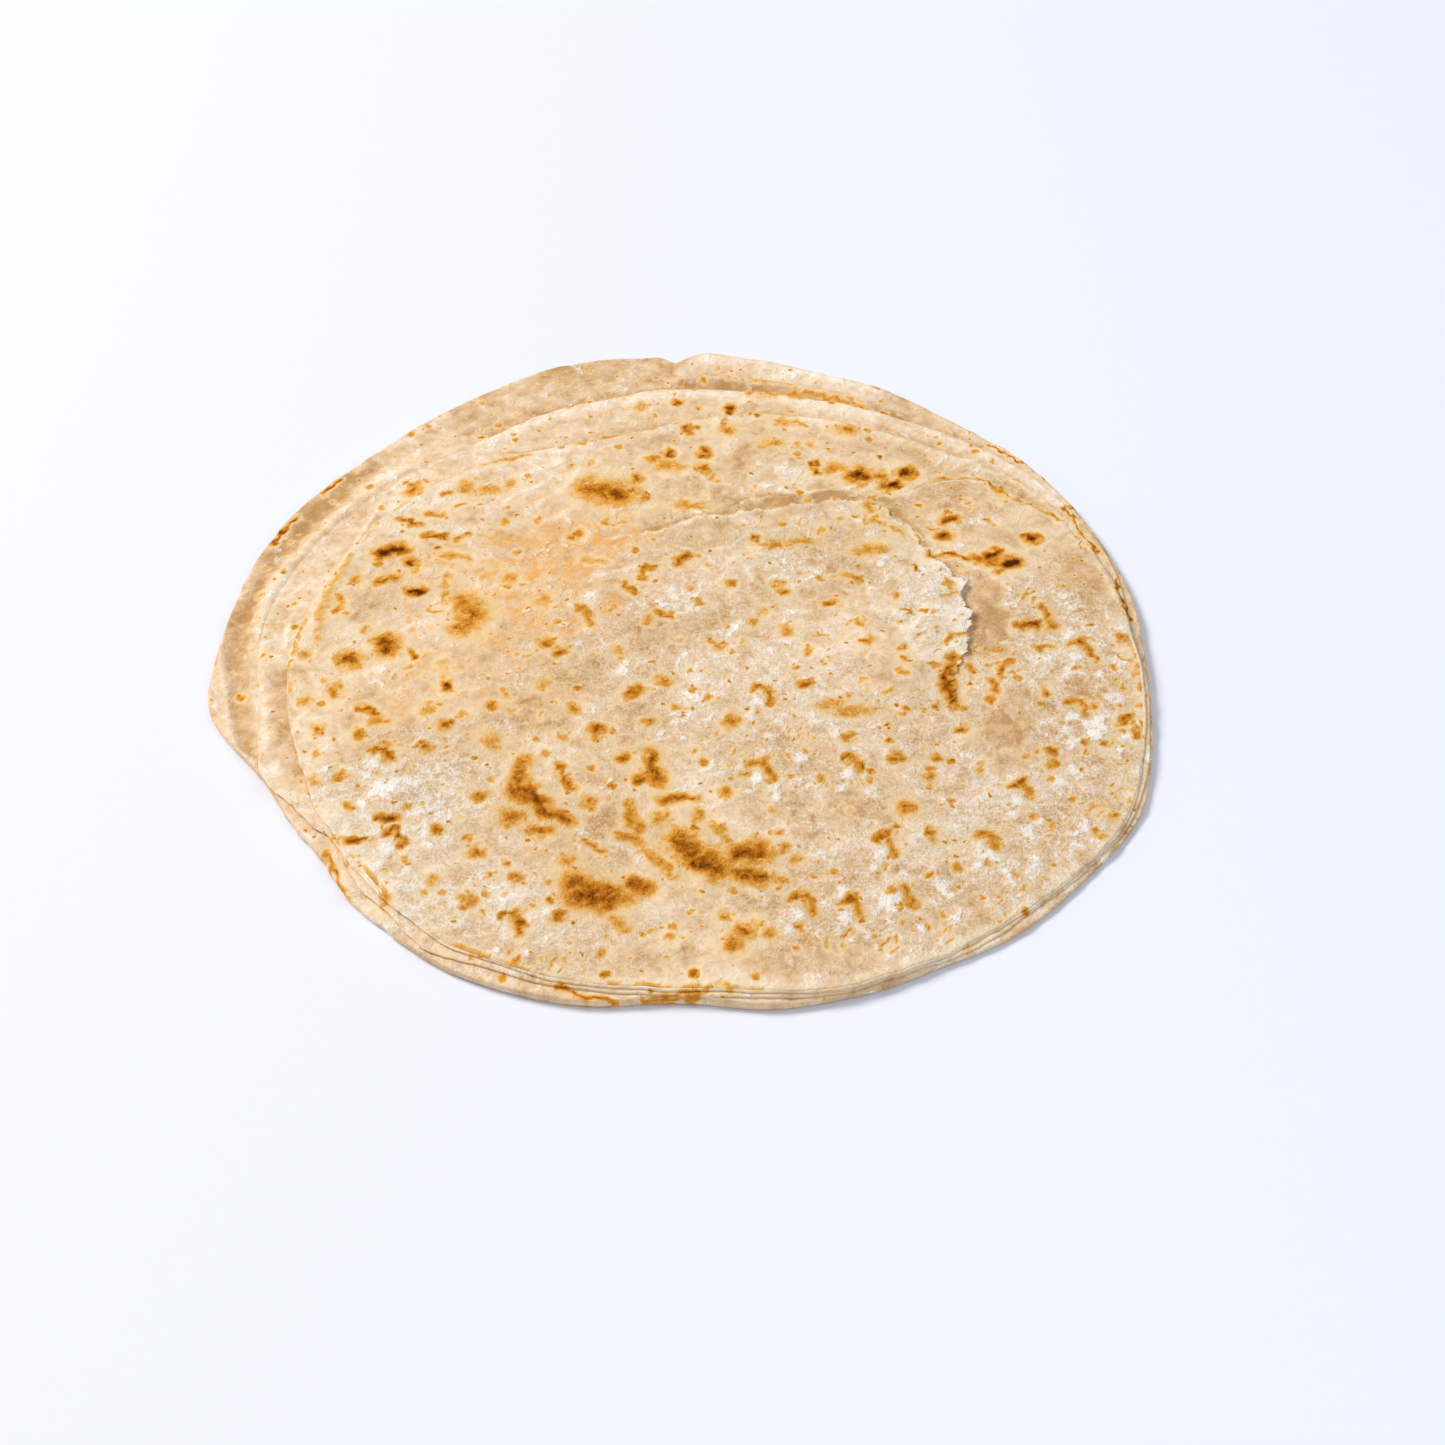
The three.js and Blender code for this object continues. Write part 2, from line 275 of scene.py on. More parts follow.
def puffs(x, y):
    """The puffs of each bent mark, raised bubbles whose whiteness is painted as flour and as a highlight:
    bells of three sizes below it and a thin ridge above it.
    """
    total = np.zeros(np.broadcast(x, y).shape)
    for px, py in BENT_MARKS:
        for dx, dy, size in PUFFS:
            total += bell(np.hypot(x - CROWN[0] - px - dx, y - CROWN[1] - py - dy), size)
        ridge = [(px + dx, py + dy) for dx, dy in PUFF_RIDGE]
        total += 0.6 * bell(from_line(x, y, ridge), 0.4)
    return total


def flesh(x, y):
    """The small relief of baked dough: soft pillows about 9 mm across, finer ones of 3 mm, the puffs
    and the folds."""
    pillows = PILLOWS * unevenness(x, y, 9.0, 11) + FINE_PILLOWS * unevenness(x, y, 3.2, 12, 30)
    return pillows + PUFF_HEIGHT * puffs(x, y) + folds(x, y)


# Where the upper leaf comes out from under the top sheet. The sheet's tear runs straight across the
# back, TEAR_LINE behind the origin, and below FLAP_END degrees it follows a rounded flap, whose
# radius is FLAP_RADIUS at FLAP_ANGLE and shrinks by FLAP_SLOPE a degree.
TEAR_LINE = 43.0
FLAP_END, FLAP_ANGLE, FLAP_RADIUS, FLAP_SLOPE = 42.0, 33.0, 92.0, 0.75
SHEET_INSET = 0.4  # how far inside the upper leaf's rim the sheet ends where it isn't torn
torn_share = stretch(ANGLES, 20, 112, 34)
tear_radius = TEAR_LINE / np.maximum(np.sin(np.radians(ANGLES)), 0.3)
flap_radius = FLAP_RADIUS + FLAP_SLOPE * turn(ANGLES, FLAP_ANGLE)
bare_radius = tear_radius + (flap_radius - tear_radius) * ease(turn(ANGLES, FLAP_END), -1.5, 1.5)
bare_radius = np.minimum(upper_rim - SHEET_INSET, upper_rim + (bare_radius - upper_rim) * torn_share)

# Heights where each leaf comes out from under the next, and at its rim. A leaf slopes down to its
# rim, and the next one starts a leaf's drop lower, at the foot of the groove between them.
LEAF_DROP = 0.8
GROOVE_DEPTH = 1.1  # how far in the groove runs
TEAR_DROP = 0.55  # from the top sheet down to the bare upper leaf
UPPER_SLOPE, LOWER_SLOPE = 0.02, 0.045  # of the upper leaf, and of the two below
bare_height = top_height(*point(bare_radius, ANGLES)) - TEAR_DROP * np.maximum(torn_share, 0.4)
upper_height = bare_height - UPPER_SLOPE * (upper_rim - bare_radius)
leaf_drop = LEAF_DROP * (1.0 - 0.22 * rim_thinning(ANGLES))
middle_height = upper_height - leaf_drop - LOWER_SLOPE * (middle_rim - upper_rim + GROOVE_DEPTH)
lowest_height = middle_height - leaf_drop - LOWER_SLOPE * (lowest_rim - middle_rim + GROOVE_DEPTH)

# How much a leaf's edge stands clear of the one below: hardly at the front and the right, most at
# the front left, where the edges are thin and flaky. On the left the middle leaf is fused with the
# lowest one, and at the back right a lobe lies on it.
looseness = along_rim(ANGLES, 0.06, (0.24, 204, 236, 10), (0.14, 88, 120, 12))
flaky = along_rim(ANGLES, 0.25, (1.0, 202, 238, 10))
fused = stretch(ANGLES, 128, 194, 10)
pressed = stretch(ANGLES, 248, 345, 10)
lobe = stretch(ANGLES, 62, 90, 4) * (1.0 - ease(ANGLES, 89.6, 91.0) * (ANGLES < 180))


def ragged(rim, depth, size, seed):
    """A rim with unevenness of a depth and size, and of 0.07 mm and 5 mm, most where it is flaky."""
    return rim + flaky * (depth * frill(ANGLES, size, seed) + 0.07 * frill(ANGLES, 5.0, seed + 1))


def border_height(radius, foot, rim, foot_height, rim_height):
    """Height of a leaf's bare border: straight from its foot to its rim."""
    share = np.clip((radius - foot) / (rim - foot), 0.0, 1.0)
    return foot_height + (rim_height - foot_height) * share


def lowest_top(radius):
    """Top of the lowest leaf: its sloping border, raised to meet the middle leaf where they are fused,
    and in a lobe with a lip and a slit inside it at the back right."""
    height = border_height(
        radius, middle_rim - GROOVE_DEPTH, lowest_rim, middle_height - leaf_drop, lowest_height
    )
    joint = 0.75 * fused * bell(radius - middle_rim, 2.6)
    lip_at = 97.3 - 0.05 * (ANGLES - 70.0)
    lip = 0.75 * bell(radius - lip_at, 1.3) + 0.55 * ease(radius, lip_at - 0.5, lip_at + 1.0)
    slit = 0.5 * bell(radius - lip_at + 2.6, 0.9) * stretch(ANGLES, 66, 82, 5)
    return height + joint + lobe * (lip - slit)


def grid_faces(grid):
    """Four-sided faces between the rows and columns of a grid of point numbers."""
    corners = [grid[:-1, :-1], grid[1:, :-1], grid[1:, 1:], grid[:-1, 1:]]
    return np.stack(corners, -1).reshape(-1, 4)


def closed(grid):
    """A grid of point numbers with its first column again at the end, so that its faces go round."""
    return np.hstack([grid, grid[:, :1]])


def fan(middle, loop):
    """Three-sided faces from a middle point to each part of a closed loop of point numbers."""
    return np.stack([np.full(len(loop), middle), np.roll(loop, -1), loop], -1)


def leaf_body(name, radii, heights, middle_top, middle_under):
    """A closed round body. Row k of radii and heights is a ring of points round the bread. The
    rings run from the middle of the top out to the rim and back in along the underside, and each
    end is closed by a fan of faces round a middle point."""
    x, y = point(radii, ANGLES)
    places = np.stack([x, y, heights], -1).reshape(-1, 3)
    count = len(places)
    places = np.vstack([places, [0.0, 0.0, middle_top], [0.0, 0.0, middle_under]])
    grid = np.arange(count).reshape(len(radii), SECTORS)
    fans = [fan(count, grid[0, ::-1]), fan(count + 1, grid[-1])]
    return dough_piece(name, places, grid_faces(closed(grid)), np.vstack(fans))


def on_body(values):
    """One number for each point of a leaf's body: its rings' values, and 0 for the middle points."""
    return np.append(values.ravel(), [0.0, 0.0])


# The box's middle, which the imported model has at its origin.
outline = np.stack(point(lowest_rim[::10], ANGLES[::10]))
BOX_MIDDLE = (outline.max(1) + outline.min(1)) / 2.0


def dough_piece(name, places, quads, triangles):
    """A piece of dough from its points in millimetres and its faces."""
    mesh = bpy.data.meshes.new(name)
    corners = np.concatenate([quads.ravel(), triangles.ravel()])
    starts = np.concatenate([
        np.arange(len(quads)) * 4, len(quads) * 4 + np.arange(len(triangles)) * 3
    ])
    mesh.vertices.add(len(places))
    mesh.loops.add(len(corners))
    mesh.polygons.add(len(starts))
    metres = (places - [BOX_MIDDLE[0], BOX_MIDDLE[1], 0.0]) / 1000.0
    mesh.vertices.foreach_set("co", metres.ravel())
    mesh.loops.foreach_set("vertex_index", corners)
    mesh.polygons.foreach_set("loop_start", starts)
    mesh.polygons.foreach_set("use_smooth", np.ones(len(starts), bool))
    mesh.update(calc_edges=True)
    mesh.validate()
    piece = bpy.data.objects.new(name, mesh)
    bpy.context.scene.collection.objects.link(piece)
    return piece


# Browned marks, by how dark they are: x, y from the crown and the diameter, or the half width and half
# length of an oval one.
MARKS = {
    0.36: [  # golden
        (-56, 62, 5), (-50, 61, 4, 1.8), (-45, 63, 4), (-14, 95, 4), (-7, 70, 4.5, 2.6), (4, 66, 3.6),
        (13, 100, 3), (22, 99, 6.5, 1.3), (7.5, 84, 6), (22, 87, 3, 2), (26, 86, 3), (19, 79, 4, 1.6),
        (15, 16.5, 3.4), (12.5, 13, 3.6), (4.5, 5, 3), (-46, -24, 6), (-56, -65, 4), (-48, -70.7, 5),
        (-66, 33, 3), (-80, 30, 4), (-83, 20, 4), (-44, 30, 5), (-36, 22, 5), (18, 40, 4, 2),
        (25, 41, 4, 1.6), (-60, -14, 5), (-35, -6, 4), (-18, 4, 4), (2, -12, 3), (-46, 50, 3),
        (-38, 50, 2.6), (-2, 55, 5, 1.5), (48, 45, 4), (29, 45, 3), (41, 38, 5, 2.4), (-90, 5, 4),
        (-88, -10, 4), (-84, -36, 4), (-66, -70, 4), (0, 20, 3), (25, 3, 3), (30, -14, 4, 2),
        (34, -16, 6, 2), (-30, -23, 3), (27, -37, 3), (62, -32.8, 3), (5, -94.6, 2.4, 1), (-20, -85.4, 3),
    ],
    0.48: [  # golden brown
        (7.5, 26, 3), (18.5, 26, 3), (28, 78, 2.8), (37, 84, 3, 2.2), (33, 69, 5), (59, -21.4, 3.4),
        (90, -47.2, 2.4), (87, -52.5, 2.4), (-84, -28, 2.6), (-78, -34.5, 2.8), (-76, -43.5, 2.8),
        (-8, -48, 5), (-40, -47, 3.4, 2.6), (-13, 58, 3), (52.5, -30.3, 2.8), (0, -47, 3.6), (-60, 60, 3),
        (10, -35, 2.4), (55, -61.5, 2.6), (-28, -60, 4),
    ],
    0.62: [  # brown
        (-14.5, 65.5, 3.6), (-68.5, 63, 5), (-10.5, 73, 3.2), (1.5, 69, 3.8), (44.5, 66, 4.4),
        (73, 59, 3.2), (-75, -22, 3.6), (-60, -26, 3.2), (-19, -91.3, 2.2), (-1, -91.4, 2.4),
        (7.5, -19, 4.2), (33, -24.5, 3.2), (43.5, -30, 3.6), (50.5, -36, 3), (45, -45, 4.2),
        (50, -52.5, 3.2), (78, -31.4, 3), (78, -27.6, 2.4), (13.5, 42.5, 2.4), (5, -75.6, 3),
        (-34, -51, 3, 2), (-84.5, -19.5, 3),
    ],
    0.84: [  # dark
        (-5, 96.5, 2.2), (-2, 84.5, 3.6), (-7, 75, 3), (2, 75, 3.6), (8, 94, 3), (15, 90.5, 2.2),
        (28.5, 71, 2.2), (29, 67.5, 2.4), (44.5, 73, 1.6), (-73, -53.5, 2.8, 0.9), (-67, -47, 2, 1.2),
    ],
    1.1: [  # burnt
        (39, 66.5, 2.7, 2.5), (47, 62.5, 2.2, 1.6), (50.5, 67, 1.9, 1.8),
    ],
}
# Marks that look like a bent arm, and loose rings of golden strokes, by their places.
BENT_MARKS = [
    (14.5, -9), (14, -32), (34, -31), (40, -54), (62, -52.8), (70.5, -38.2), (22, -71), (32, -72),
    (43, -68.6), (85, -12.8), (-69.5, -26.5), (-65, -51.5), (-39, -75.5), (87.5, 6), (96, -19),
]
RING_MARKS = [
    (94, -6.5), (92, -24.7), (92.5, -32.8), (92, -40), (85, -44.7), (76.5, -50.5), (67, -65.5), (63, -72.6),
    (50, -80.3), (38.5, -83.3), (27.5, -82.7), (22, -23), (-30, -88.3), (36, 12), (76, 22), (8, -28),
]

# The strokes of a bent mark and of a ring mark: half width, how dark, and x and y of each point of
# the line from the mark's place.
BENT_STROKES = [
    (1.05, 0.56, -2.1, 0, -0.6, 0.8, 0.5, 1.3), (1.15, 0.48, 0.5, 1, 1.3, -1.5, 1.8, -3.9),
    (0.5, 0.32, 2.5, 1.8), (0.75, 0.36, -0.7, -7.9),
]
RING_STROKES = [
    (0.6, 0.42, -1.9, 1.6), (0.5, 0.34, -1.1, -1.6, -0.2, 0.3, 1.1, 1.6), (0.5, 0.3, 2.6, 1.8, 2.2, 1),
    (0.5, 0.3, 1.7, -2.3, 2.6, -0.8),
]
# The larger marks, as strokes in the same way, with their lines from the crown.
STROKES = [
    (2.3, 0.5, -38, -31, -39, -34, -39.5, -37.5), (2.3, 0.78, -39, -39.5, -36, -40.5, -34.5, -43),
    (1.5, 0.7, -34, -45.5, -31, -46.5, -28, -48.5), (1.1, 0.6, -30.5, -31, -29.5, -35, -27.5, -39),
    (1.9, 0.5, -23.5, -42.5), (1.8, 0.5, -47.5, -41), (2, 0.62, -10.5, -28.5, -10, -33.5, -8.5, -37),
    (1.4, 0.6, -13.5, -36.5, -12, -35.5), (1.5, 0.42, -15, -42.5, -14.5, -47.5, -13, -51),
    (1.5, 0.5, -16.5, -53, -13, -54.5), (1.5, 0.55, -8, -42.5, -4.5, -42, -1, -42),
    (3.4, 0.64, -4, -54.5, -1, -58.5, 4, -62.5), (1.8, 0.82, -3, -57.5, -0.5, -61, 4, -63),
    (3.1, 0.66, 8.5, -58.5, 12.5, -58), (2.2, 0.68, 9, -64.5, 13.5, -65), (1.7, 0.33, 3.5, -50, 6.5, -55),
    (3.6, 0.6, -26, -66.5, -23, -68.5, -17.5, -70), (2.8, 0.76, -25.5, -70, -21, -71, -18, -71),
    (2.3, 0.66, -13.5, -67, -11.5, -68), (1.7, 0.33, -18, -76, -15, -79),
    (1.7, 0.36, -11.5, -57.5, -8.5, -60.5, -5.5, -64), (2, 0.7, 7, -83.5), (2, 0.6, 9.5, -80),
    (2, 0.42, 15, -80.5), (1.2, 0.5, 12.5, -78), (1.1, 0.38, -24.5, -54.5, -20.5, -57),
    (1.5, 0.55, -56, -50.5), (1.5, 0.6, -47.5, -57), (1.5, 0.6, -38.5, -64.5), (1.6, 0.62, -29, -75.5),
    (0.9, 0.6, -50, -53), (0.9, 0.6, -41, -60.5), (0.9, 0.62, -31.5, -71.5),
    (1.6, 0.5, -17, -29.5, -16, -29.5), (1.5, 0.55, 6, -40.5), (1.3, 0.4, -34, -28.5),
    (1.8, 0.78, -22.5, -21), (1.4, 0.6, -11, -19), (1.7, 0.7, -56, -19), (1.2, 0.5, 1, -31),
    (1.1, 0.36, -1, -28.5), (1.4, 0.5, 18.5, -57), (1.3, 0.5, 21, -60), (1.2, 0.6, 17.5, -66),
    (1, 0.45, 16, -46), (1, 0.45, 17.5, -52), (1.4, 0.4, -6, -81.5), (1.1, 0.5, -15, -79),
    (1, 0.5, 21, -78.5), (1.2, 0.6, -70.5, 51, -66.5, 49), (1.4, 0.34, -64.5, 53, -61.5, 52.5),
    (1, 0.62, -65, 45.5, -60, 44.5), (0.8, 0.62, -57, 44, -54.5, 45), (0.6, 0.7, -61.5, 41),
    (1.5, 0.32, -59.5, 38.5, -54, 37), (1.8, 1, -74.5, 39, -70, 40.5), (1.4, 0.9, -67.5, 36),
    (1.6, 0.55, -74, 29, -71, 31), (1.4, 0.98, -66.5, 26, -64.5, 26), (1.3, 0.28, -59, 32, -59, 23.5),
    (0.9, 0.48, -62, 19.5, -60, 18.5), (3.2, 0.52, -54.5, 22.5, -51.5, 17, -54, 13),
    (1.2, 0.45, -76.5, 12.5), (2.6, 0.8, -71.5, 8.5, -71, 6.5), (2.5, 0.85, -79.5, 3),
    (0.9, 0.65, -65, 5.5, -64.5, 3.5), (0.8, 0.45, -66, 0), (1.6, 0.5, -82, -6, -81.5, -9),
    (1, 0.7, -75.5, -13, -71.5, -15), (1.6, 0.33, -73, -17.5, -69.5, -17.5),
    (1.2, 0.88, -56.5, -6, -56.5, -7.5), (1.9, 0.2, -58, 1.5, -57, -3.5), (1.5, 0.68, -46, -13),
    (1, 0.4, -43, -9.5, -42.5, -10), (0.9, 0.4, -53.5, -15.5, -52.5, -15.5), (0.9, 0.42, -42, -15),
    (1.3, 0.62, -56.5, -18.5, -55.5, -18.5), (0.9, 0.48, -42.5, 39), (1.7, 0.6, -34.5, 7),
    (1.4, 0.8, -31.5, 4), (1, 0.38, -29, 5.5), (1.8, 0.42, -27.5, -14.5),
    (1.6, 0.6, -15.5, -10, -13.5, -8.5), (1.7, 0.45, -8, -5.5, -7, -6), (1, 0.3, -5.5, -14.5, -3, -14.5),
    (1.1, 0.5, -13, 28.5, -12, 32, -10, 32.5), (0.9, 0.58, -17.5, 26, -14, 23.5),
    (1.3, 0.52, -5, 34, -1.5, 36), (1, 0.42, -11.5, 13, -11, 15), (1, 0.42, -9, 16.5, -6, 15),
    (1.1, 0.5, -22, 48.5), (1, 0.33, -18, 48.5), (1.4, 0.5, -29.5, 44, -27.5, 45.5),
    (1, 0.3, -27, 35.5, -21.5, 34.5), (4.3, 0.62, -25, 61, -18.5, 59.5),
    (1.3, 0.38, -27.5, 19.5, -25, 16.5, -24.5, 13), (1, 0.38, -57.5, 55.5, -56, 56), (0.8, 0.35, -52, 56.5),
    (1.4, 0.92, 59, 48.5, 61, 49), (1.5, 0.98, 58.5, 43), (0.5, 0.42, 54.5, 46, 57, 45),
    (1.6, 0.42, 55, 35.5), (0.6, 0.55, 50.5, 32, 51.5, 30), (0.8, 0.6, 58, 36, 61.5, 35.5, 64.5, 34),
    (1.4, 1.05, 68.5, 35, 71, 36.5), (1.5, 1.15, 72, 32.5, 74.5, 33),
    (1.6, 0.55, 65, 34.5, 69.5, 33, 75, 33), (1.2, 0.48, 70, 29.5), (1.3, 1, 78.5, 41.5, 80, 41.5),
    (0.8, 0.35, 64.5, 55, 65.5, 55), (0.6, 0.6, 52.5, 55), (0.8, 0.36, 68.5, 48.5, 70, 46.5),
    (0.7, 0.45, 74, 55), (1.2, 0.7, 74, 12), (1.3, 0.9, 76.5, 12.5, 77.5, 12.5),
    (1.3, 0.5, 79.5, 18, 81, 15.5, 81.5, 11), (1.1, 0.4, 78, 4, 80.5, 5.5), (1.3, 0.55, 97, 7.5),
    (0.7, 0.5, 95, 13), (0.8, 0.5, 86, -1.5), (0.9, 0.55, 78.5, -8.5, 78.5, -10.5), (1.3, 0.42, 88, -14),
    (1.7, 0.6, 58, 0.5, 56.5, -3, 56, -8.5, 57.5, -13.5), (0.9, 0.9, 56, -4, 56.5, -6),
    (0.9, 0.45, 53.5, -14.5), (0.9, 0.34, 53, -2, 54, -1), (0.9, 0.55, 61.5, -1.5, 63, -3.5),
    (0.9, 0.6, 68.5, -3.5, 69, -1, 71, 0.5), (0.6, 0.4, 65.5, -0.5, 68.5, 0.5),
    (0.5, 0.5, 71.5, -3, 72.5, -4), (1.2, 0.5, 66.5, -5.5, 67, -9.5), (1, 0.6, 65.5, -12),
    (1.3, 0.26, 58, 26, 59.5, 22, 57.5, 20.5), (1.2, 0.36, 60.5, 8.5, 58, 8.5, 56.5, 5.5),
    (0.7, 0.35, 55, 10), (1.1, 0.5, 47, 4), (0.6, 0.45, 46, 1, 48, 0.5), (1, 0.42, 45.5, -2.5, 47, -4.5),
    (1.1, 0.52, 46, 22), (1.1, 0.6, 30.5, 19, 32, 19), (1.2, 0.62, 38, 6, 39, 6), (0.8, 0.5, 37.5, 12),
    (1.6, 0.6, 20.5, 10), (1.3, 0.7, 20, 23), (0.5, 0.4, 46.5, 17, 50, 15.5), (0.8, 0.55, 52.5, 16.5),
    (1, 0.5, 28.5, 27.5), (0.7, 0.5, 31.5, 28.5), (1.3, 0.32, 35, 29, 37, 27),
    (1.3, 0.6, 23.5, -7.5, 25, -7.5), (0.8, 0.48, 22, -3), (0.6, 0.5, 28.5, -1), (0.8, 0.5, 37, -6),
    (0.6, 0.5, 39.5, -2, 40, -2), (0.9, 0.5, 46, -16.5), (0.8, 0.28, 41.5, -9.5, 44, -9.5),
    (1.2, 0.33, 34.5, 49.5), (1.5, 0.36, 41, 54.5, 41.5, 52.5), (1.4, 0.38, 41, 49, 44, 47),
    (0.8, 0.28, 51.5, 42.5), (0.4, 0.34, 25.5, 8.5, 30, 8),
]
# Browned lines along edges and folds, in the same way.
BROWN_LINES = [
    (0.6, 0.4, -29, 78.8, -25.7, 80.7, -20, 82.5, -17, 84.5), (1.3, 0.24, -52, 71, -46, 73.4, -41, 74.5),
    (1.5, 0.22, -82, 36, -85, 28, -87, 19, -87, 9),
    (0.6, 0.42, 57, 63.6, 61.3, 64.6, 66, 64.6, 70, 63, 72, 60, 74, 56.6),
    (0.6, 0.4, 75.5, 56, 77.5, 55.2, 80.6, 52.6, 83.8, 50.4, 86.4, 47.4),
    (0.8, 0.36, 16, 100, 21, 100.7, 27.4, 101, 36, 97.6, 42, 94), (0.7, 0.7, -101.5, 46, -96.5, 55.4),
    (0.7, 0.6, -91, 64, -87, 69.5), (0.7, 0.4, -80, -55, -77, -62, -74, -68),
    (0.5, 0.6, 88.5, 54, 91, 44, 94, 37.4), (0.5, 0.7, 97.8, 27.5, 99.7, 14.5),
    (0.5, 0.55, 72, 80.4, 79, 72.6), (0.7, 0.5, -29, -93.3, -24, -95.3, -17, -96.3),
    (0.5, 0.36, -12, -96, -6, -95.7, 4, -95),
]
MARK_SHAPE = (0.43, 0.49)  # half width and half length of a round mark, as parts of its diameter
# The small marks at random: how many, within which distance of their middle, and its x and y.
SMALL_MARKS, SMALL_REACH, SMALL_MIDDLE = 130, 104.0, (-3.0, 8.0)


def all_marks():
    """Every oval mark as rows of x, y, half width, half length and darkness: the listed ones, each
    with a small one at random beside it, and small ones anywhere."""
    draw = np.random.default_rng(31)
    rows = []
    for dark, places in MARKS.items():
        for x, y, *size in places:
            wide, long = size if len(size) == 2 else [size[0] * part for part in MARK_SHAPE]
            rows.append((x, y, wide, long, dark))
            way, part = draw.uniform(0, 2 * np.pi), draw.uniform(0.35, 0.6)
            rows.append((
                x + wide * np.cos(way), y + long * np.sin(way), wide * part, long * part, dark * 0.85
            ))
    for _ in range(SMALL_MARKS):
        way, far = draw.uniform(0, 2 * np.pi), SMALL_REACH * np.sqrt(draw.uniform())
        size, dark = draw.uniform(0.35, 0.9), draw.uniform(0.25, 0.6)
        x, y = far * np.cos(way) + SMALL_MIDDLE[0], far * np.sin(way) + SMALL_MIDDLE[1]
        rows.append((x, y, size, size, dark))
    return np.array(rows)


def all_strokes():
    """Every stroke as its half width, darkness and points: the listed ones, and those of the bent
    and ring marks, each a little different."""
    draw = np.random.default_rng(32)
    strokes = [
        (half_width, dark, np.reshape(line, (-1, 2)))
        for half_width, dark, *line in STROKES + BROWN_LINES
    ]
    for places, parts in ((BENT_MARKS, BENT_STROKES), (RING_MARKS, RING_STROKES)):
        for place in places:
            size = draw.uniform(0.85, 1.1)
            for half_width, dark, *line in parts:
                line = place + size * np.reshape(line, (-1, 2))
                line[:, 0] += draw.uniform(-0.2, 0.2, len(line))
                strokes.append((half_width * size, dark * draw.uniform(0.85, 1.1), line))
    return strokes


def baked(over):
    """Share of a mark's darkness at over half widths from its middle: 1.03 exp(-1.36 over^1.4), which
    is a peak, and 0.21 of a wide bell."""
    return 1.03 * np.exp(-1.36 * np.abs(over) ** 1.4) + 0.21 * bell(over, 2.0)


def shifted(x, y, seed, *shifts):
    """Points from the crown, shifted by unevenness for each (reach, size), so that what is placed
    there gets an uneven edge. The seeds run on from the given one: those of x, then those of y."""
    px, py = x - CROWN[0], y - CROWN[1]
    for number, (reach, size) in enumerate(shifts):
        px = px + reach * unevenness(x, y, size, seed + number)
        py = py + reach * unevenness(x, y, size, seed + len(shifts) + number)
    return px, py


def browning(x, y):
    """How brown the griddle has made each point: the strongest of all marks and strokes, where a mark
    is a bell over its oval and a stroke a bell across its line. Each is worked out only for the
    points within 3.5 half widths of it in x and y."""
    px, py = shifted(x, y, 21, (0.3, 6.0), (0.25, 2.6))
    reach = 3.5
    strongest = np.zeros(np.shape(x))
    for cx, cy, wide, long, dark in all_marks():
        near = (np.abs(px - cx) < reach * wide) & (np.abs(py - cy) < reach * long)
        over = np.hypot((px[near] - cx) / wide, (py[near] - cy) / long)
        strongest[near] = np.maximum(strongest[near], dark * baked(over))
    for half_width, dark, line in all_strokes():
        low, high = line.min(0) - reach * half_width, line.max(0) + reach * half_width
        near = (px > low[0]) & (px < high[0]) & (py > low[1]) & (py < high[1])
        far = from_line(px[near] + CROWN[0], py[near] + CROWN[1], line)
        strongest[near] = np.maximum(strongest[near], dark * baked(far / half_width))
    return strongest


# Places, from the crown, where the dough is smooth, thin and tan, where it is floury, and where it
# is warm orange: x, y, half width, half length, strength.
THIN_PATCHES = [
    (66, 12, 5, 15, 1), (20, 56.5, 34, 3, 0.9), (68, -20, 9, 11, 0.8), (-30, -57, 12, 8, 0.45),
    (34, -45.5, 9, 7, 0.6), (2, 44, 13, 6, 0.6), (45, -3, 12, 5, 0.4), (-78, -55, 6, 4, 0.3),
    (-8, 8, 10, 6, 0.5), (-44, -83.5, 14, 5, 0.45), (-10, -87.4, 16, 5, 0.5), (0, -75, 12, 8, 0.6),
    (-43, 43, 6, 6, 0.5), (16, -87.4, 20, 5, 0.5), (-50, -5, 8, 8, 0.3), (24, -30, 8, 6, 0.4),
    (66, -33, 6, 5, 0.5), (92, 30, 8, 14, 0.5), (62, 58, 5, 5, 0.5), (-14, 82, 20, 5, 0.4),
    (40, 78, 24, 5, 0.35),
]
FLOURY_PLACES = [
    (70, -38.2, 32, 40, 0.72), (30, -65.2, 36, 24, 0.62), (-62, -40, 20, 18, 0.9), (54, 20, 9, 16, 0.9),
    (22, -22, 30, 24, 0.6), (84, 6, 18, 26, 0.7), (-30, -81.4, 26, 14, 0.6), (-4, 0, 46, 54, 0.4),
    (28, 36, 26, 14, 0.5), (-52, -25, 14, 10, 0.6), (-70, 20, 10, 20, 0.3), (-66, 52, 16, 12, 0.25),
    (60, 55, 14, 8, 0.4), (-30, -56, 30, 24, 0.5), (-50, -70, 20, 9, 0.8), (84, -20, 9, 9, 0.85),
    (60, -62, 14, 7, 0.7),
]
WARM_PLACES = [
    (-42, 26, 28, 24, 0.95), (-25, 44, 20, 14, 0.85), (-58, -14, 24, 14, 0.6), (-35, -15, 24, 18, 0.45),
    (-24, -52, 26, 24, 0.4), (30, 50, 34, 8, 0.5), (10, 90, 30, 12, 0.4), (46, 30, 10, 20, 0.35),
    (-10, -91.4, 34, 8, 0.35), (-62, 1, 12, 9, 0.75), (22, -62, 10, 8, 0.6), (58, 20, 9, 14, 0.6),
    (58, -42, 36, 26, 0.3),
]
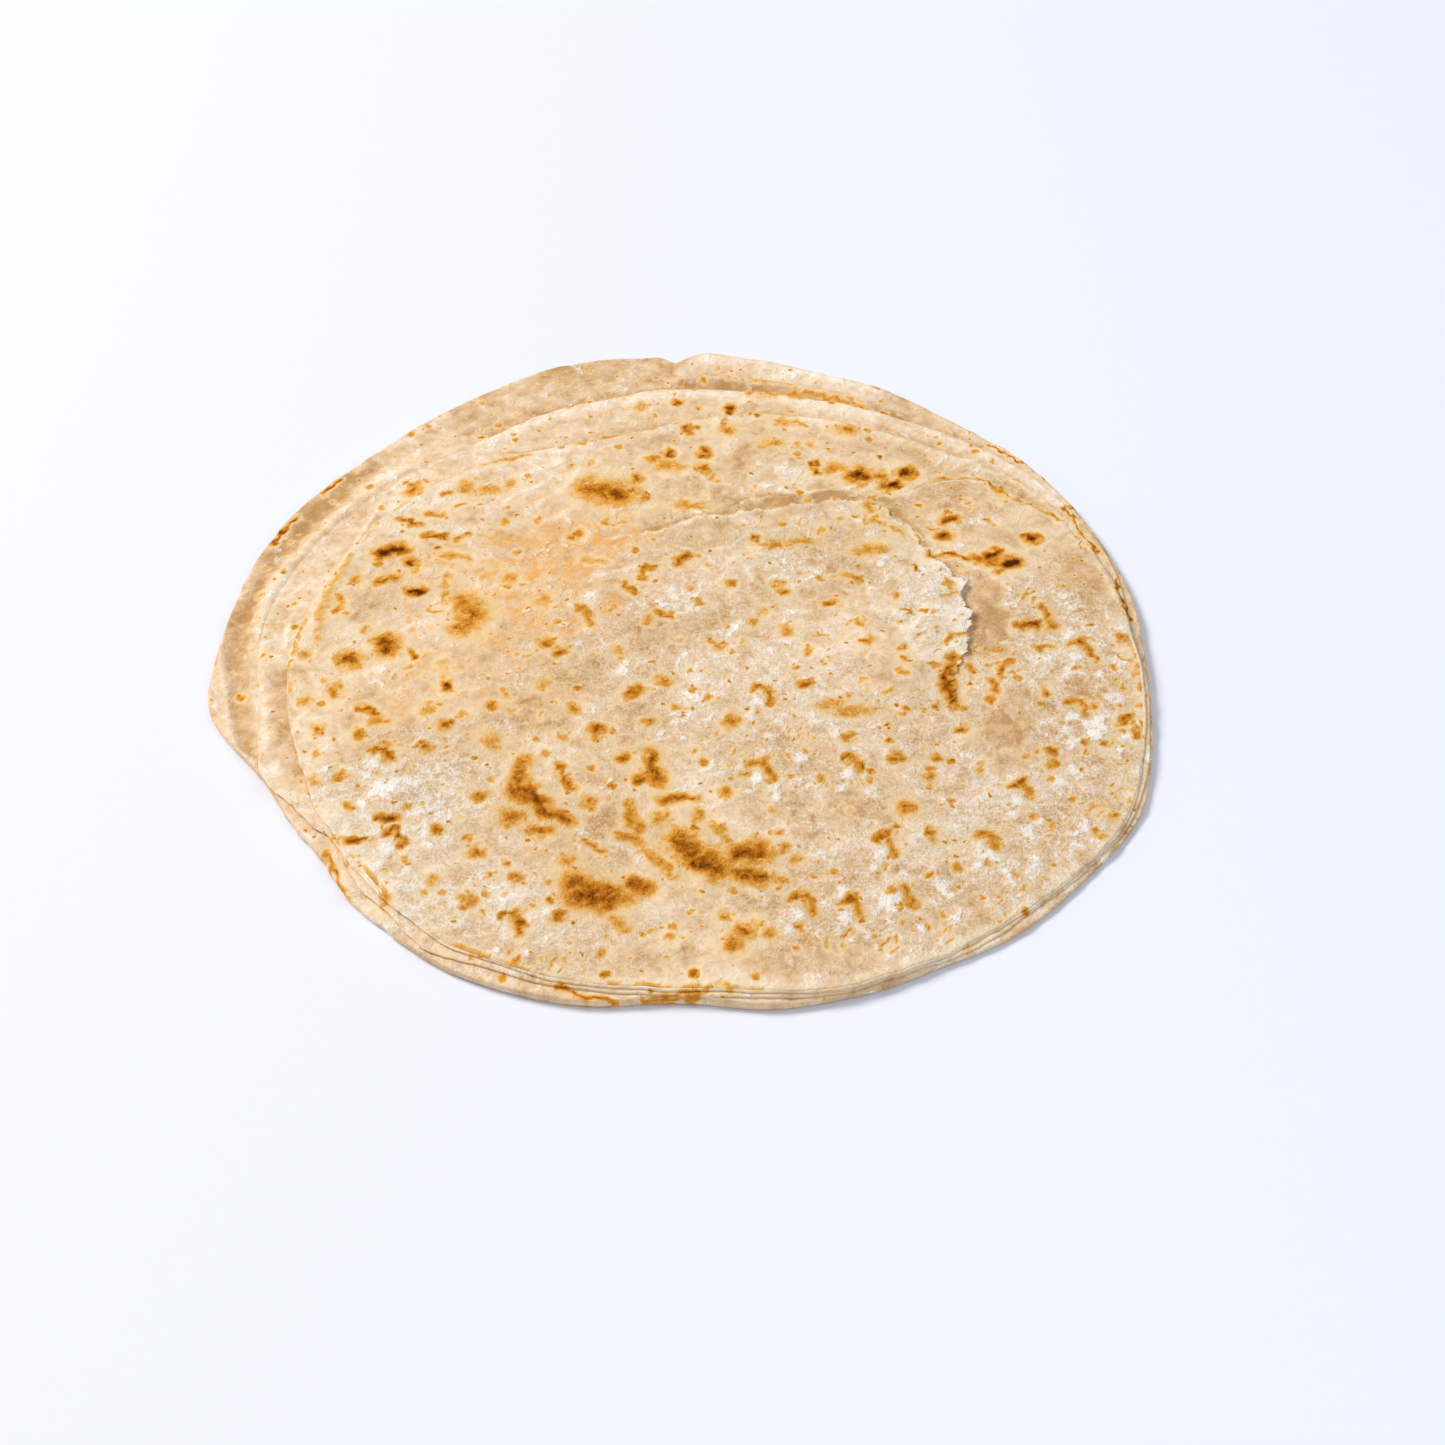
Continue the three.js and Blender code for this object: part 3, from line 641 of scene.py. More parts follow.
# Places where the dough is paler, or darker if below 0, in the same way.
TONES = [
    (55, 18, 10, 19, 1.5), (-60, -45, 24, 20, 0.5), (-84, -30, 14, 26, 0.5), (-100, 20, 14, 60, -0.5),
    (66, 12, 5, 15, -0.6), (-30, -84, 30, 14, 0.4), (-90, 62, 22, 26, -0.4), (-92, 30, 8, 22, 0.8),
    (-50, -71, 22, 9, 0.7), (-62, 0, 12, 9, -0.5), (23, -62, 10, 7, -0.5), (-62, 76, 14, 8, 0.8),
    (84, 8, 16, 40, -0.4), (20, 78, 50, 16, -0.25),
]


def ovals(px, py, places):
    """A flat bell for each place: its strength times exp(-over^3), over being in half sizes."""
    return [
        strength * np.exp(-np.hypot((px - cx) / wide, (py - cy) / long) ** 3)
        for cx, cy, wide, long, strength in places
    ]


def season(piece, edge, pale, under=0.0):
    """Keeps the look of each of a piece's points as attributes for its material: the strongest of the
    placed marks, patches, flour and warmth; the sum of all that makes it paler, which holds painted
    highlights and painted shade as well as the dough's own tones; and a golden edge, which also holds
    painted shade in the gaps between leaves. On the underside, where under is 1, the material has spots of
    its own instead."""
    count = len(piece.data.vertices)
    places = np.empty(count * 3, np.float32)
    piece.data.vertices.foreach_get("co", places)
    x, y = (places.reshape(-1, 3)[:, :2] * 1000.0 + BOX_MIDDLE).T
    on_top = 1.0 - under
    thin = np.max(ovals(*shifted(x, y, 41, (1.6, 11.0)), THIN_PATCHES), 0)
    soft = shifted(x, y, 41, (4.0, 11.0))
    # the puffs beside the bent marks go in with the flour: their whiteness is partly flour and partly a
    # painted highlight on each bubble
    flour = np.maximum(np.max(ovals(*soft, FLOURY_PLACES), 0), 1.5 * puffs(x, y))
    warm = np.max(ovals(*soft, WARM_PLACES), 0)
    tones = sum(ovals(*shifted(x, y, 43, (1.0, 8.0)), TONES))
    looks = {
        "browning": browning(x, y) * on_top, "thin": thin * on_top, "flour": flour * on_top,
        "warm": warm * on_top, "pale": (folds(x, y, 2) + tones) * on_top + pale,
        "underside": np.zeros(count) + under, "golden_edge_and_gap_shade": edge,
    }
    for name, values in looks.items():
        kept = piece.data.attributes.new(name, "FLOAT", "POINT")
        kept.data.foreach_set("value", np.asarray(values, np.float32).ravel())


# ---- The baked dough's finish, first used here
def shade(code):
    """A colour's linear red, green, blue and alpha from its six hexadecimal digits."""
    parts = np.array([int(code[i : i + 2], 16) / 255.0 for i in (0, 2, 4)])
    linear = np.where(parts <= 0.04045, parts / 12.92, ((parts + 0.055) / 1.055) ** 2.4)
    return (*linear, 1.0)


def add_node(tree, kind, inputs=(), **settings):
    """A node of a kind, its settings made, and each named or numbered input set or linked."""
    node = tree.nodes.new(kind)
    for name, value in settings.items():
        setattr(node, name, value)
    for key, value in dict(inputs).items():
        if isinstance(value, bpy.types.NodeSocket):
            tree.links.new(value, node.inputs[key])
        else:
            node.inputs[key].default_value = value
    return node


def sum_up(tree, operation, *values):
    """A Math node's result."""
    return add_node(tree, "ShaderNodeMath", dict(enumerate(values)), operation=operation).outputs[0]


def ramp(tree, value, low, high, result_low=0.0, result_high=1.0):
    """A smooth step of a value from low to high."""
    return add_node(
        tree, "ShaderNodeMapRange",
        {0: value, 1: low, 2: high, 3: result_low, 4: result_high}, interpolation_type="SMOOTHSTEP",
    ).outputs[0]


def blend_in(tree, share, under, over):
    """One colour laid over another by a share."""
    return add_node(
        tree, "ShaderNodeMix", {0: share, 6: under, 7: over}, data_type="RGBA"
    ).outputs[2]


def grain(tree, place, per_metre, detail=3.0, rough=0.55, warp=0.0):
    """Noise of about 1 / per_metre metres about 0, with a spread of about 1."""
    noise = add_node(
        tree, "ShaderNodeTexNoise",
        {"Vector": place, "Scale": per_metre, "Detail": detail, "Roughness": rough, "Distortion": warp},
    )
    return sum_up(tree, "MULTIPLY_ADD", noise.outputs[0], 9.0, -4.5)


def colour_scale(tree, value, stops):
    """The colour that belongs to a value, from a list of values with their colours."""
    low, high = stops[0][0], stops[-1][0]
    share = sum_up(tree, "MULTIPLY_ADD", value, 1.0 / (high - low), -low / (high - low))
    node = add_node(tree, "ShaderNodeValToRGB", {0: share})
    scale = node.color_ramp.elements
    for at, code in stops[1:-1]:
        scale.new((at - low) / (high - low)).color = shade(code)
    scale[0].color, scale[-1].color = shade(stops[0][1]), shade(stops[-1][1])
    return node.outputs[0]


DOUGH = [  # from tan to cream, by tone
    (-2.6, "be905b"), (-1.6, "cfa777"), (-0.8, "dbb88e"), (0.0, "e4c5a0"), (0.8, "ecd3b4"),
    (1.6, "f4e0c8"), (2.6, "fbefdf"),
]
CRUST = [  # from golden to burnt, by heat
    (0.05, "eecb92"), (0.2, "e6b163"), (0.36, "dc9a40"), (0.54, "cc8225"), (0.7, "b2691a"),
    (0.88, "8f4d13"), (1.15, "4f270f"),
]
BLUSH, FLOUR, HALO = shade("e8a850"), shade("fbf3e8"), shade("f4dcb4")
FRECKLES = ((230.0, 0.6), (480.0, 0.7))  # cells a metre, and the share of cells that have none
DOUGH_INPUTS = ("Browning", "Thin", "Flour", "Warm", "Pale", "Golden Edge And Gap Shade", "Underside")


def make_dough_group():
    """The look of griddled dough as a node group. Its inputs are browning, thinness, flour, warmth and the
    golden edge with the painted shade in the gaps between leaves, each from 0 to about 1; paleness with its
    painted highlights and shade, about 0; and 1 on the underside. Its outputs are a colour, a roughness, a
    shine and a height in millimetres."""
    t = bpy.data.node_groups.new("griddled_dough", "ShaderNodeTree")
    for name in DOUGH_INPUTS:
        t.interface.new_socket(name, in_out="INPUT", socket_type="NodeSocketFloat")
    for name, kind in (("Color", "Color"), ("Roughness", "Float"), ("Shine", "Float"), ("Height", "Float")):
        t.interface.new_socket(name, in_out="OUTPUT", socket_type="NodeSocket" + kind)
    given = t.nodes.new("NodeGroupInput").outputs
    place = add_node(t, "ShaderNodeTexCoord").outputs["Object"]

    def times(value, by):
        """A value times another."""
        return sum_up(t, "MULTIPLY", value, by)

    def total(*parts):
        """The parts' sum; a part is a value or a value with its share."""
        result = None
        for part in parts:
            part = times(*part) if isinstance(part, tuple) else part
            result = part if result is None else sum_up(t, "ADD", result, part)
        return result

    # noise of six sizes, from 25 mm down to 0.4 mm
    broad = grain(t, place, 40.0, 2.0)
    patch = grain(t, place, 130.0, 3.0, 0.6, 0.8)
    mottle = grain(t, place, 360.0, 3.0, 0.6, 0.6)
    elsewhere = add_node(t, "ShaderNodeVectorMath", {0: place, 1: (0.31, 0.17, 0.23)}).outputs[0]
    second = grain(t, elsewhere, 560.0, 3.0, 0.6, 0.5)
    speck = grain(t, place, 1350.0, 2.0, 0.75)
    fibre = grain(t, elsewhere, 2600.0, 2.0, 0.7, 1.0)

    # plain dough, from tan to cream: speckled where it is floury, and calm where it is thin
    thin = ramp(t, total(given["Thin"], (patch, 0.16), (broad, 0.06), (second, 0.05)), 0.24, 0.52)
    grainy = times(ramp(t, given["Flour"], 0.0, 0.5), sum_up(t, "SUBTRACT", 1.0, times(thin, 0.6)))
    fine = times(total((speck, 0.72), (fibre, 0.42), (second, 0.2)), total(0.2, (grainy, 0.68)))
    tone = total(fine, (mottle, 0.55), (patch, 0.6), (broad, 0.45), (thin, -1.1), given["Pale"], -0.12)
    colour = colour_scale(t, tone, DOUGH)

    # warm golden blush, and flour that lies in grains and in soft white puffs
    warm = ramp(t, total(given["Warm"], (second, 0.2), (mottle, 0.14), (speck, 0.08)), 0.3, 1.2)
    warm = times(warm, ramp(t, total(mottle, (second, 0.6)), -1.6, 1.4, 0.35, 0.95))
    colour = blend_in(t, warm, colour, BLUSH)
    puffs = ramp(t, total(patch, (mottle, 0.4)), 0.5, 1.9)
    dust = total(
        (given["Flour"], 1.5), (puffs, 1.1), (speck, 0.22), (mottle, 0.28), (second, 0.12), (thin, -1.0)
    )
    flour = ramp(t, dust, 0.7, 2.3)
    colour = blend_in(t, times(flour, 0.85), colour, FLOUR)

    # golden freckles, in cells of two sizes
    swirl = add_node(t, "ShaderNodeTexNoise", {"Vector": place, "Scale": 700.0, "Detail": 3.0}).outputs[1]
    swirled = add_node(
        t, "ShaderNodeVectorMath", {0: swirl, 1: (0.002, 0.002, 0.002), 2: place},
        operation="MULTIPLY_ADD",
    ).outputs[0]
    freckles = None
    for per_metre, least in FRECKLES:
        cells = add_node(t, "ShaderNodeTexVoronoi", {"Vector": swirled, "Scale": per_metre})
        chance = add_node(t, "ShaderNodeSeparateColor", {0: cells.outputs["Color"]}).outputs[0]
        dots = times(ramp(t, cells.outputs["Distance"], 0.42, 0.08), ramp(t, chance, least, 0.97))
        freckles = dots if freckles is None else sum_up(t, "MAXIMUM", freckles, dots)

    # the heat of the griddle: the marks, the freckles, the underside's spots and the golden edge, together
    # with the painted shade in the gaps between leaves that the golden edge carries, all ragged with fine
    # noise, coloured from golden to burnt, with a pale ring round each
    spots = times(ramp(t, total(patch, (mottle, 0.5), (broad, 0.5)), 0.9, 2.5), given["Underside"])
    field = sum_up(t, "MAXIMUM", given["Browning"], times(freckles, 0.48))
    field = sum_up(t, "MAXIMUM", field, times(spots, 0.8))
    uneven = total((second, 0.14), (speck, 0.07), (fibre, 0.03), (mottle, 0.05))
    heat_and_gap_shade = total(field, times(uneven, ramp(t, field, 0.0, 0.6)))
    edge = times(given["Golden Edge And Gap Shade"], ramp(t, total(patch, (mottle, 0.3)), -1.2, 1.4))
    heat_and_gap_shade = sum_up(t, "MAXIMUM", heat_and_gap_shade, total(times(edge, 0.4), (times(edge, speck), 0.04)))
    halo = times(ramp(t, heat_and_gap_shade, 0.005, 0.08), sum_up(t, "SUBTRACT", 0.4, times(flour, 0.3)))
    colour = blend_in(t, halo, colour, HALO)
    crust = colour_scale(t, heat_and_gap_shade, CRUST)
    colour = blend_in(t, ramp(t, heat_and_gap_shade, 0.03, 0.28), colour, crust)

    rough = total(0.66, (flour, 0.15), (thin, -0.16))
    shine = times(total(0.12, (thin, 0.3)), ramp(t, heat_and_gap_shade, 0.4, 0.1))
    fine_height = times(total((speck, 0.055), (fibre, 0.025)), grainy)
    height = total((mottle, 0.05), fine_height, (second, 0.03), (puffs, 0.2))
    height = total(height, (flour, 0.1), (ramp(t, heat_and_gap_shade, 0.2, 0.8), 0.2))
    add_node(t, "NodeGroupOutput", {"Color": colour, "Roughness": rough, "Shine": shine, "Height": height})
    return t


dough_group = make_dough_group()


def bake(piece):
    """Gives a piece its own griddled dough material, which reads the piece's attributes."""
    material = bpy.data.materials.new(piece.name + "_dough")
    material.use_nodes = True
    tree = material.node_tree
    tree.nodes.clear()
    read = {
        name: add_node(
            tree, "ShaderNodeAttribute", attribute_name=name.lower().replace(" ", "_"),
            attribute_type="GEOMETRY",
        ).outputs["Fac"]
        for name in DOUGH_INPUTS
    }
    look = add_node(tree, "ShaderNodeGroup", read, node_tree=dough_group).outputs
    bump = add_node(tree, "ShaderNodeBump", {"Strength": 0.8, "Distance": 0.001, "Height": look["Height"]})
    surface = add_node(tree, "ShaderNodeBsdfPrincipled", {
        "Base Color": look["Color"], "Roughness": look["Roughness"], "Normal": bump.outputs[0],
        "Subsurface Weight": 0.08, "Subsurface Radius": (0.004, 0.002, 0.001), "Subsurface Scale": 0.5,
        "Specular IOR Level": look["Shine"],
    })
    add_node(tree, "ShaderNodeOutputMaterial", {"Surface": surface.outputs[0]})
    piece.data.materials.append(material)


def set_on_bread(piece):
    """Says that a piece stands for the bread's solid and moves with it."""
    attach(piece, "root")
    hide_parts("paratha")


# the lowest leaf's rings: coarse ones under the other leaves and close ones over its border, a
# bulging side with fine lines along it, and the flat underside
HIDDEN_TOP = 2.3  # height of its top in the middle
HIDDEN_SHARES = (0.15, 0.4, 0.65, 0.85)
BORDER_RINGS, SIDE_RINGS = 46, 15
ROUNDING, BULGE = 0.45, 0.45  # how far in from the rim its side starts, and how far that bulges
HOLLOW_ANGLE, HOLLOW_DEPTH = 272.0, 0.8  # a hollow in the side, at the front
ragged_rim = ragged(lowest_rim, 0.34, 20.0, 51)
radii = [share * (middle_rim - 6.0) for share in HIDDEN_SHARES]
heights = [HIDDEN_TOP - 0.8 * thinning(*point(radius, ANGLES)) for radius in radii]
shown = middle_rim - 2.5
for share in np.linspace(0.0, 1.0, BORDER_RINGS):
    radius = shown + (ragged_rim - ROUNDING - shown) * share
    radii.append(radius)
    heights.append(lowest_top(radius) + flesh(*point(radius, ANGLES)) * ease(share, 0.0, 0.2))
crest = heights[-1]
for share in np.linspace(0.04, 1.0, SIDE_RINGS):
    bulge = BULGE * np.sin(np.pi * share**0.8) ** 0.7 + 0.35 * (1.0 - share)
    bulge = bulge - HOLLOW_DEPTH * bell(turn(HOLLOW_ANGLE, ANGLES), 7.0) * bell(share - 0.2, 0.2)
    lines = 0.05 * np.sin(share * 16.0 + frill(ANGLES, 14.0, 53))
    radii.append(ragged_rim - ROUNDING + bulge + lines - 0.9 * ease(share, 0.8, 1.0))
    heights.append(crest * (1.0 - share) + 0.02 * share)
underside = [ragged_rim - back for back in (1.6, 3.0, 8.0)]
underside += [share * ragged_rim for share in (0.7, 0.4, 0.15)]
radii += underside
heights += [0.0 * ANGLES] * len(underside)
radii, heights = np.array(radii), np.array(heights)
lowest_leaf = leaf_body("lowest_leaf", radii, heights, HIDDEN_TOP, 0.0)

# its golden edge where the top meets the side and on the lobe's lip, and, in the same attribute, painted
# shade in the gap under the next leaf
ring = np.arange(len(radii))[:, None]
top_rings = len(HIDDEN_SHARES) + BORDER_RINGS
edge = bell(ring - top_rings, 2.5)
edge = edge * along_rim(ANGLES, 0.25, (0.5, 12, 60, 10), (0.35, 226, 240, 5), (0.35, 110, 150, 10))
edge = edge * (0.6 + 0.4 * frill(ANGLES, 9.0, 54))
edge += 0.8 * stretch(ANGLES, 64, 84, 4) * bell(radii - 97.6, 0.9)
edge += 0.9 * (1.0 - fused) * ease(middle_rim - radii, 0.1, 0.5) * (ring < top_rings)

# it is paler at its rim, partly as a painted highlight where light catches the edge, except on the left,
# and on the lobe; it is darker in a tan stretch at the back, and it has painted shade in the lobe's slit
# and beside the middle leaf, where shade falls at the foot of that leaf
on_top = ring < top_rings + SIDE_RINGS
at_rim = radii - ragged_rim + 1.2
tan_back = stretch(ANGLES, 91, 122, 5)
pale = 0.9 * bell(at_rim, 1.4) * (1.0 - tan_back) - 0.9 * tan_back
pale -= 0.9 * stretch(ANGLES, 140, 200, 14) * bell(at_rim, 2.4)
pale += 0.7 * lobe * ease(radii, 98.5, 100.5) - 1.6 * lobe * bell(radii - 95.0, 1.8)
pale -= 0.7 * (1.0 - fused) * bell(radii - middle_rim - 0.8, 1.6)
under = on_body(1.0 - on_top * np.ones(SECTORS))
under[-1] = 1.0  # the middle point of the underside
season(lowest_leaf, on_body(np.clip(edge, 0, 1.2)), on_body(pale * on_top), under)
bake(lowest_leaf)
set_on_bread(lowest_leaf)


# ---- The middle leaf -------------------------------------------------------------------------
# A thin leaf of dough that lies on the lowest one and has baked onto it. It shows as a second band on the
# left, with a raised rim and a smooth trough inside it, whose tan is partly painted shade, and as an edge
# in the layered side at the front.

MIDDLE_LEVELS = (3.2, 2.4)  # heights of its top and its underside in the middle, where it is hidden
EDGE_ROUNDING = 0.3


def crust_rings(rim, top, first, count, thickness, lift, levels):
    """Rings of a thin leaf: coarse ones over its hidden middle, count close ones over its border from
    radius first outwards, a rounded edge of its thickness, and an underside that comes down by lift
    within 5 mm of the edge. top is the border's height at a radius, and the small relief is on it."""
    hidden_top, hidden_under = levels
    last = rim - EDGE_ROUNDING
    radii = [share * first for share in (0.12, 0.35, 0.6, 0.8, 0.93)]
    heights = [hidden_top - thinning(*point(radius, ANGLES)) for radius in radii]
    for share in np.linspace(0.0, 1.0, count):
        radii.append(first + (last - first) * share)
        heights.append(top(radii[-1]) + flesh(*point(radii[-1], ANGLES)))
    crest = heights[-1]
    for way in np.radians([55, 25, 0, -25, -55, -80]):
        radii.append(last + (rim - last) * np.cos(way))
        heights.append(crest - thickness / 2.0 + thickness / 2.0 * np.sin(way))
    for back, share in ((0.6, 0.0), (1.6, 0.35), (3.2, 0.9), (5.0, 1.0)):
        radii.append(last - back)
        heights.append(crest - thickness - lift * share)
    for share in (0.8, 0.45, 0.15):
        radii.append(share * (last - 5.0))
        heights.append(hidden_under - 0.8 * thinning(*point(radii[-1], ANGLES)))
    return np.array(radii), np.array(heights)


def painted_gap_shade(radii, rim_above):
    """Painted shade for the gaps between leaves, carried with the golden edge: 0.9 where a thin leaf's
    rings lie inside the rim of the leaf above, and on its underside.
    """
    rings = np.arange(len(radii))[:, None]
    underside = ease(rings - len(radii) + 10.0, 0.0, 2.0)
    return 0.9 * np.maximum(ease(rim_above - radii, 0.1, 0.5), underside)


def middle_top(radius):
    """Top of the middle leaf: its sloping border, which sinks into the lowest leaf where they are fused."""
    height = border_height(
        radius, upper_rim - GROOVE_DEPTH, middle_rim, upper_height - leaf_drop, middle_height
    )
    joint = 0.55 * bell(radius - upper_rim, 4.0) - 0.45 * ease(radius, middle_rim - 2.5, middle_rim)
    return height + fused * joint + looseness * 0.5 * ease(radius, middle_rim - 3.0, middle_rim)


ragged_rim = ragged(middle_rim, 0.4, 17.0, 61)
radii, heights = crust_rings(
    ragged_rim, middle_top, first=upper_rim - 2.5, count=34, thickness=0.62 + 0.2 * pressed,
    lift=looseness * 0.5 + 0.12 - 0.1 * pressed, levels=MIDDLE_LEVELS,
)
middle_leaf = leaf_body("middle_leaf", radii, heights, *MIDDLE_LEVELS)
edge = bell(radii - ragged_rim + 0.2, 0.9)
edge = edge * along_rim(ANGLES, 0.25, (0.35, 215, 285, 12), (0.4, 88, 112, 6))
edge *= np.clip(0.7 + 0.4 * frill(ANGLES, 8.0, 63), 0, 1.3)
# painted shade in the gap under the upper leaf and on its underside, carried with the golden edge
edge += (1.0 - fused) * painted_gap_shade(radii, upper_rim)
# paler at its rim, partly a painted highlight where light catches the edge, and painted shade at the foot
# of the upper leaf
pale = 1.4 * bell(radii - middle_rim + 1.5, 2.6) - 0.9 * bell(radii - upper_rim - 1.0, 1.8)
season(middle_leaf, on_body(edge), on_body((1.0 - fused) * pale))
bake(middle_leaf)
set_on_bread(middle_leaf)


# ---- The upper leaf --------------------------------------------------------------------------
# The leaf of dough under the torn top sheet, which holds it down. It lies bare across the back, speckled
# with dark griddle marks, and its edge is loose at the front left.

UPPER_LEVELS = (3.9, 3.3)  # as for the middle leaf


def upper_top(radius):
    """Top of the upper leaf: from the foot of the tear to its rim, and under the top sheet."""
    border = border_height(radius, bare_radius, upper_rim, bare_height, upper_height)
    under_sheet = top_height(*point(radius, ANGLES)) - 0.6
    out = ease(radius, bare_radius - 8.0, bare_radius - 1.0)
    raised = looseness * 0.4 * ease(radius, upper_rim - 3.0, upper_rim)
    return under_sheet + (border - under_sheet) * out + raised


ragged_rim = ragged(upper_rim, 0.4, 17.0, 71)
radii, heights = crust_rings(
    ragged_rim, upper_top, first=bare_radius - 2.0, count=58, thickness=0.6 + 0.2 * pressed,
    lift=looseness * 0.4 + 0.12 - 0.1 * pressed, levels=UPPER_LEVELS,
)
upper_leaf = leaf_body("upper_leaf", radii, heights, *UPPER_LEVELS)
edge = bell(radii - ragged_rim + 0.2, 1.0)
edge = edge * along_rim(ANGLES, 0.3, (0.5, 90, 112, 8), (0.5, 150, 186, 10), (0.3, 10, 50, 8))
edge *= np.clip(0.7 + 0.4 * frill(ANGLES, 8.0, 73), 0, 1.3)
# painted shade in the gap under the top sheet and on its underside, carried with the golden edge
edge += painted_gap_shade(radii, upper_rim - SHEET_INSET) * (1.0 - torn_share)
# paler at its rim, partly a painted highlight where light catches the edge, and painted shade at the foot
# of the top sheet's tear
pale = 1.1 * bell(radii - upper_rim + 1.3, 1.6) - 0.8 * bell(radii - bare_radius - 2.0, 2.5) * torn_share
season(upper_leaf, on_body(edge), on_body(pale))
bake(upper_leaf)
set_on_bread(upper_leaf)


# ---- The top sheet ---------------------------------------------------------------------------
# The thin sheet of dough on top, which most of the browning is on. It has baked onto the upper leaf,
# is torn off along the back, and right of the tear it ends in a rounded flap.

ACROSS = 296
SHEET_EDGE = 0.22  # how far its edge rounds out
SHEET_THICKNESS = 0.42
SHEET_MIDDLE = 3.4  # height of its hidden underside
SHEET_GAP = 0.28  # its height above the upper leaf beyond the tear
SKIN_STEP = 0.3  # from the outermost skin down to where it has come off
# The sheet's torn edge at the back, from right to left: x and y from the crown.
SHEET_TEAR = [
    (92, 36), (88, 46), (84, 51.5), (81, 53.5), (78, 55.5), (75, 57), (73, 60), (70, 63.2), (65, 64.6),
    (60, 63.7), (55, 61.5), (51, 59.5), (47, 58.5), (42, 60), (35, 60.3), (28, 60), (20, 58.5), (10, 56.5),
    (2, 57.3), (-4, 56.5), (-12, 55), (-22, 57), (-34, 66), (-44, 74),
]
# The outermost skin has come off a strip along the tear and beside a flake on the right: its edge,
# from the left end round to the flake, as x and y from the crown.
SKIN_EDGE = [
    (-22, 42), (-15, 44.2), (-9, 45.5), (-4, 48.5), (3, 51), (10, 51.5), (20, 53.6), (31, 55.3), (36, 56.3),
    (39, 56.8), (42, 54.7), (46, 51), (50, 46.6), (53, 42), (52.6, 40), (54, 36.6), (56, 33), (58, 31.6),
    (60, 28), (61.2, 26.7), (62.6, 25.3), (61.2, 21.8), (61.4, 17.2), (63.2, 15.7), (62.8, 9), (61, 5.7),
    (61.1, 3), (60.2, 0), (58.6, -2.6), (57.6, -6), (57, -12), (56, -21.5),
]
SKIN_CENTRE = (15.0, -5.0)  # from the crown


def polar(points):
    """Angles of points, from the lowest up, and their distances from the origin."""
    x, y = points.T
    order = np.argsort(np.arctan2(y, x))
    return np.degrees(np.arctan2(y, x))[order], np.hypot(x, y)[order]


def round_the_rim(angle, values):
    """What the values at ANGLES come to at any angle from 0 to 360."""
    return np.interp(angle, np.append(ANGLES, 360.0), np.append(values, values[0]))


def sheet_rim(angle):
    """Distance from the origin to the top sheet's edge: the torn line where there is one, and
    elsewhere the upper leaf's rim, a little inside it."""
    whole = round_the_rim(angle % 360.0, upper_rim) - SHEET_INSET
    far = 200.0
    torn = np.interp(angle % 360.0, *polar(np.array(SHEET_TEAR) + CROWN), left=far, right=far)
    return np.minimum(whole, torn + 0.25 * frill(angle, 3.0, 81) + 0.12 * frill(angle, 1.2, 82))


def bare_level(x, y):
    """Height of the upper leaf's bare top at any point beyond the tear."""
    angle = np.degrees(np.arctan2(y, x)) % 360.0
    border = (bare_radius, upper_rim, bare_height, upper_height)
    return border_height(np.hypot(x, y), *(round_the_rim(angle, values) for values in border))


skin_angles, skin_radii = polar(np.array(SKIN_EDGE) - SKIN_CENTRE)


def skin_torn_here(angle):
    """1 along the torn part of the skin's edge, fading out at its two ends."""
    first, last = skin_angles[0], skin_angles[-1]
    return ease(angle, first, first + 18.0) * (1.0 - ease(angle, last - 14.0, last))


def beyond_skin(x, y):
    """How far each point lies outside the skin's edge, and 1 where that edge is torn."""
    px, py = x - CROWN[0] - SKIN_CENTRE[0], y - CROWN[1] - SKIN_CENTRE[1]
    angle = np.degrees(np.arctan2(py, px))
    return np.hypot(px, py) - np.interp(angle, skin_angles, skin_radii), skin_torn_here(angle)


def sheet_level(x, y, hole=1.0):
    """Height of the top sheet: the bread's top, a skin's thickness lower where the outermost skin is
    torn off, and just above the upper leaf's bare top beyond the tear."""
    outside, torn_here = beyond_skin(x, y)
    bare = torn_here * ease(outside, -12.0, -3.0)
    angle, radius = np.degrees(np.arctan2(y, x)) % 360.0, np.hypot(x, y)
    beyond = ease(radius - np.interp(angle, ANGLES, bare_radius), -5.0, 0.0)
    beyond = beyond * np.interp(angle, ANGLES, torn_share)
    on_top = top_height(x, y, hole) - SKIN_STEP * bare
    return on_top + (bare_level(x, y) + SHEET_GAP - on_top) * beyond


def round_grid(across):
    """Angle and share of the radius of each point of a square grid that is pulled out into a disc.
    The share is the larger of |u| and |v|, so that squares become rings, and the angle runs evenly
    along each side, 45 degrees for each half of it."""
    u, v = np.meshgrid(np.linspace(-1.0, 1.0, across), np.linspace(-1.0, 1.0, across))
    wide = np.abs(u) >= np.abs(v)
    u_or_1, v_or_1 = np.where(u == 0, 1, u), np.where(v == 0, 1, v)
    eighth = np.where(wide, v, u) / np.where(wide, u_or_1, v_or_1)
    from_side = 45.0 * eighth + np.where(u < 0, 180.0, 0.0)
    from_end = 90.0 - 45.0 * eighth + np.where(v < 0, 180.0, 0.0)
    return np.where(wide, from_side, from_end), np.maximum(np.abs(u), np.abs(v))


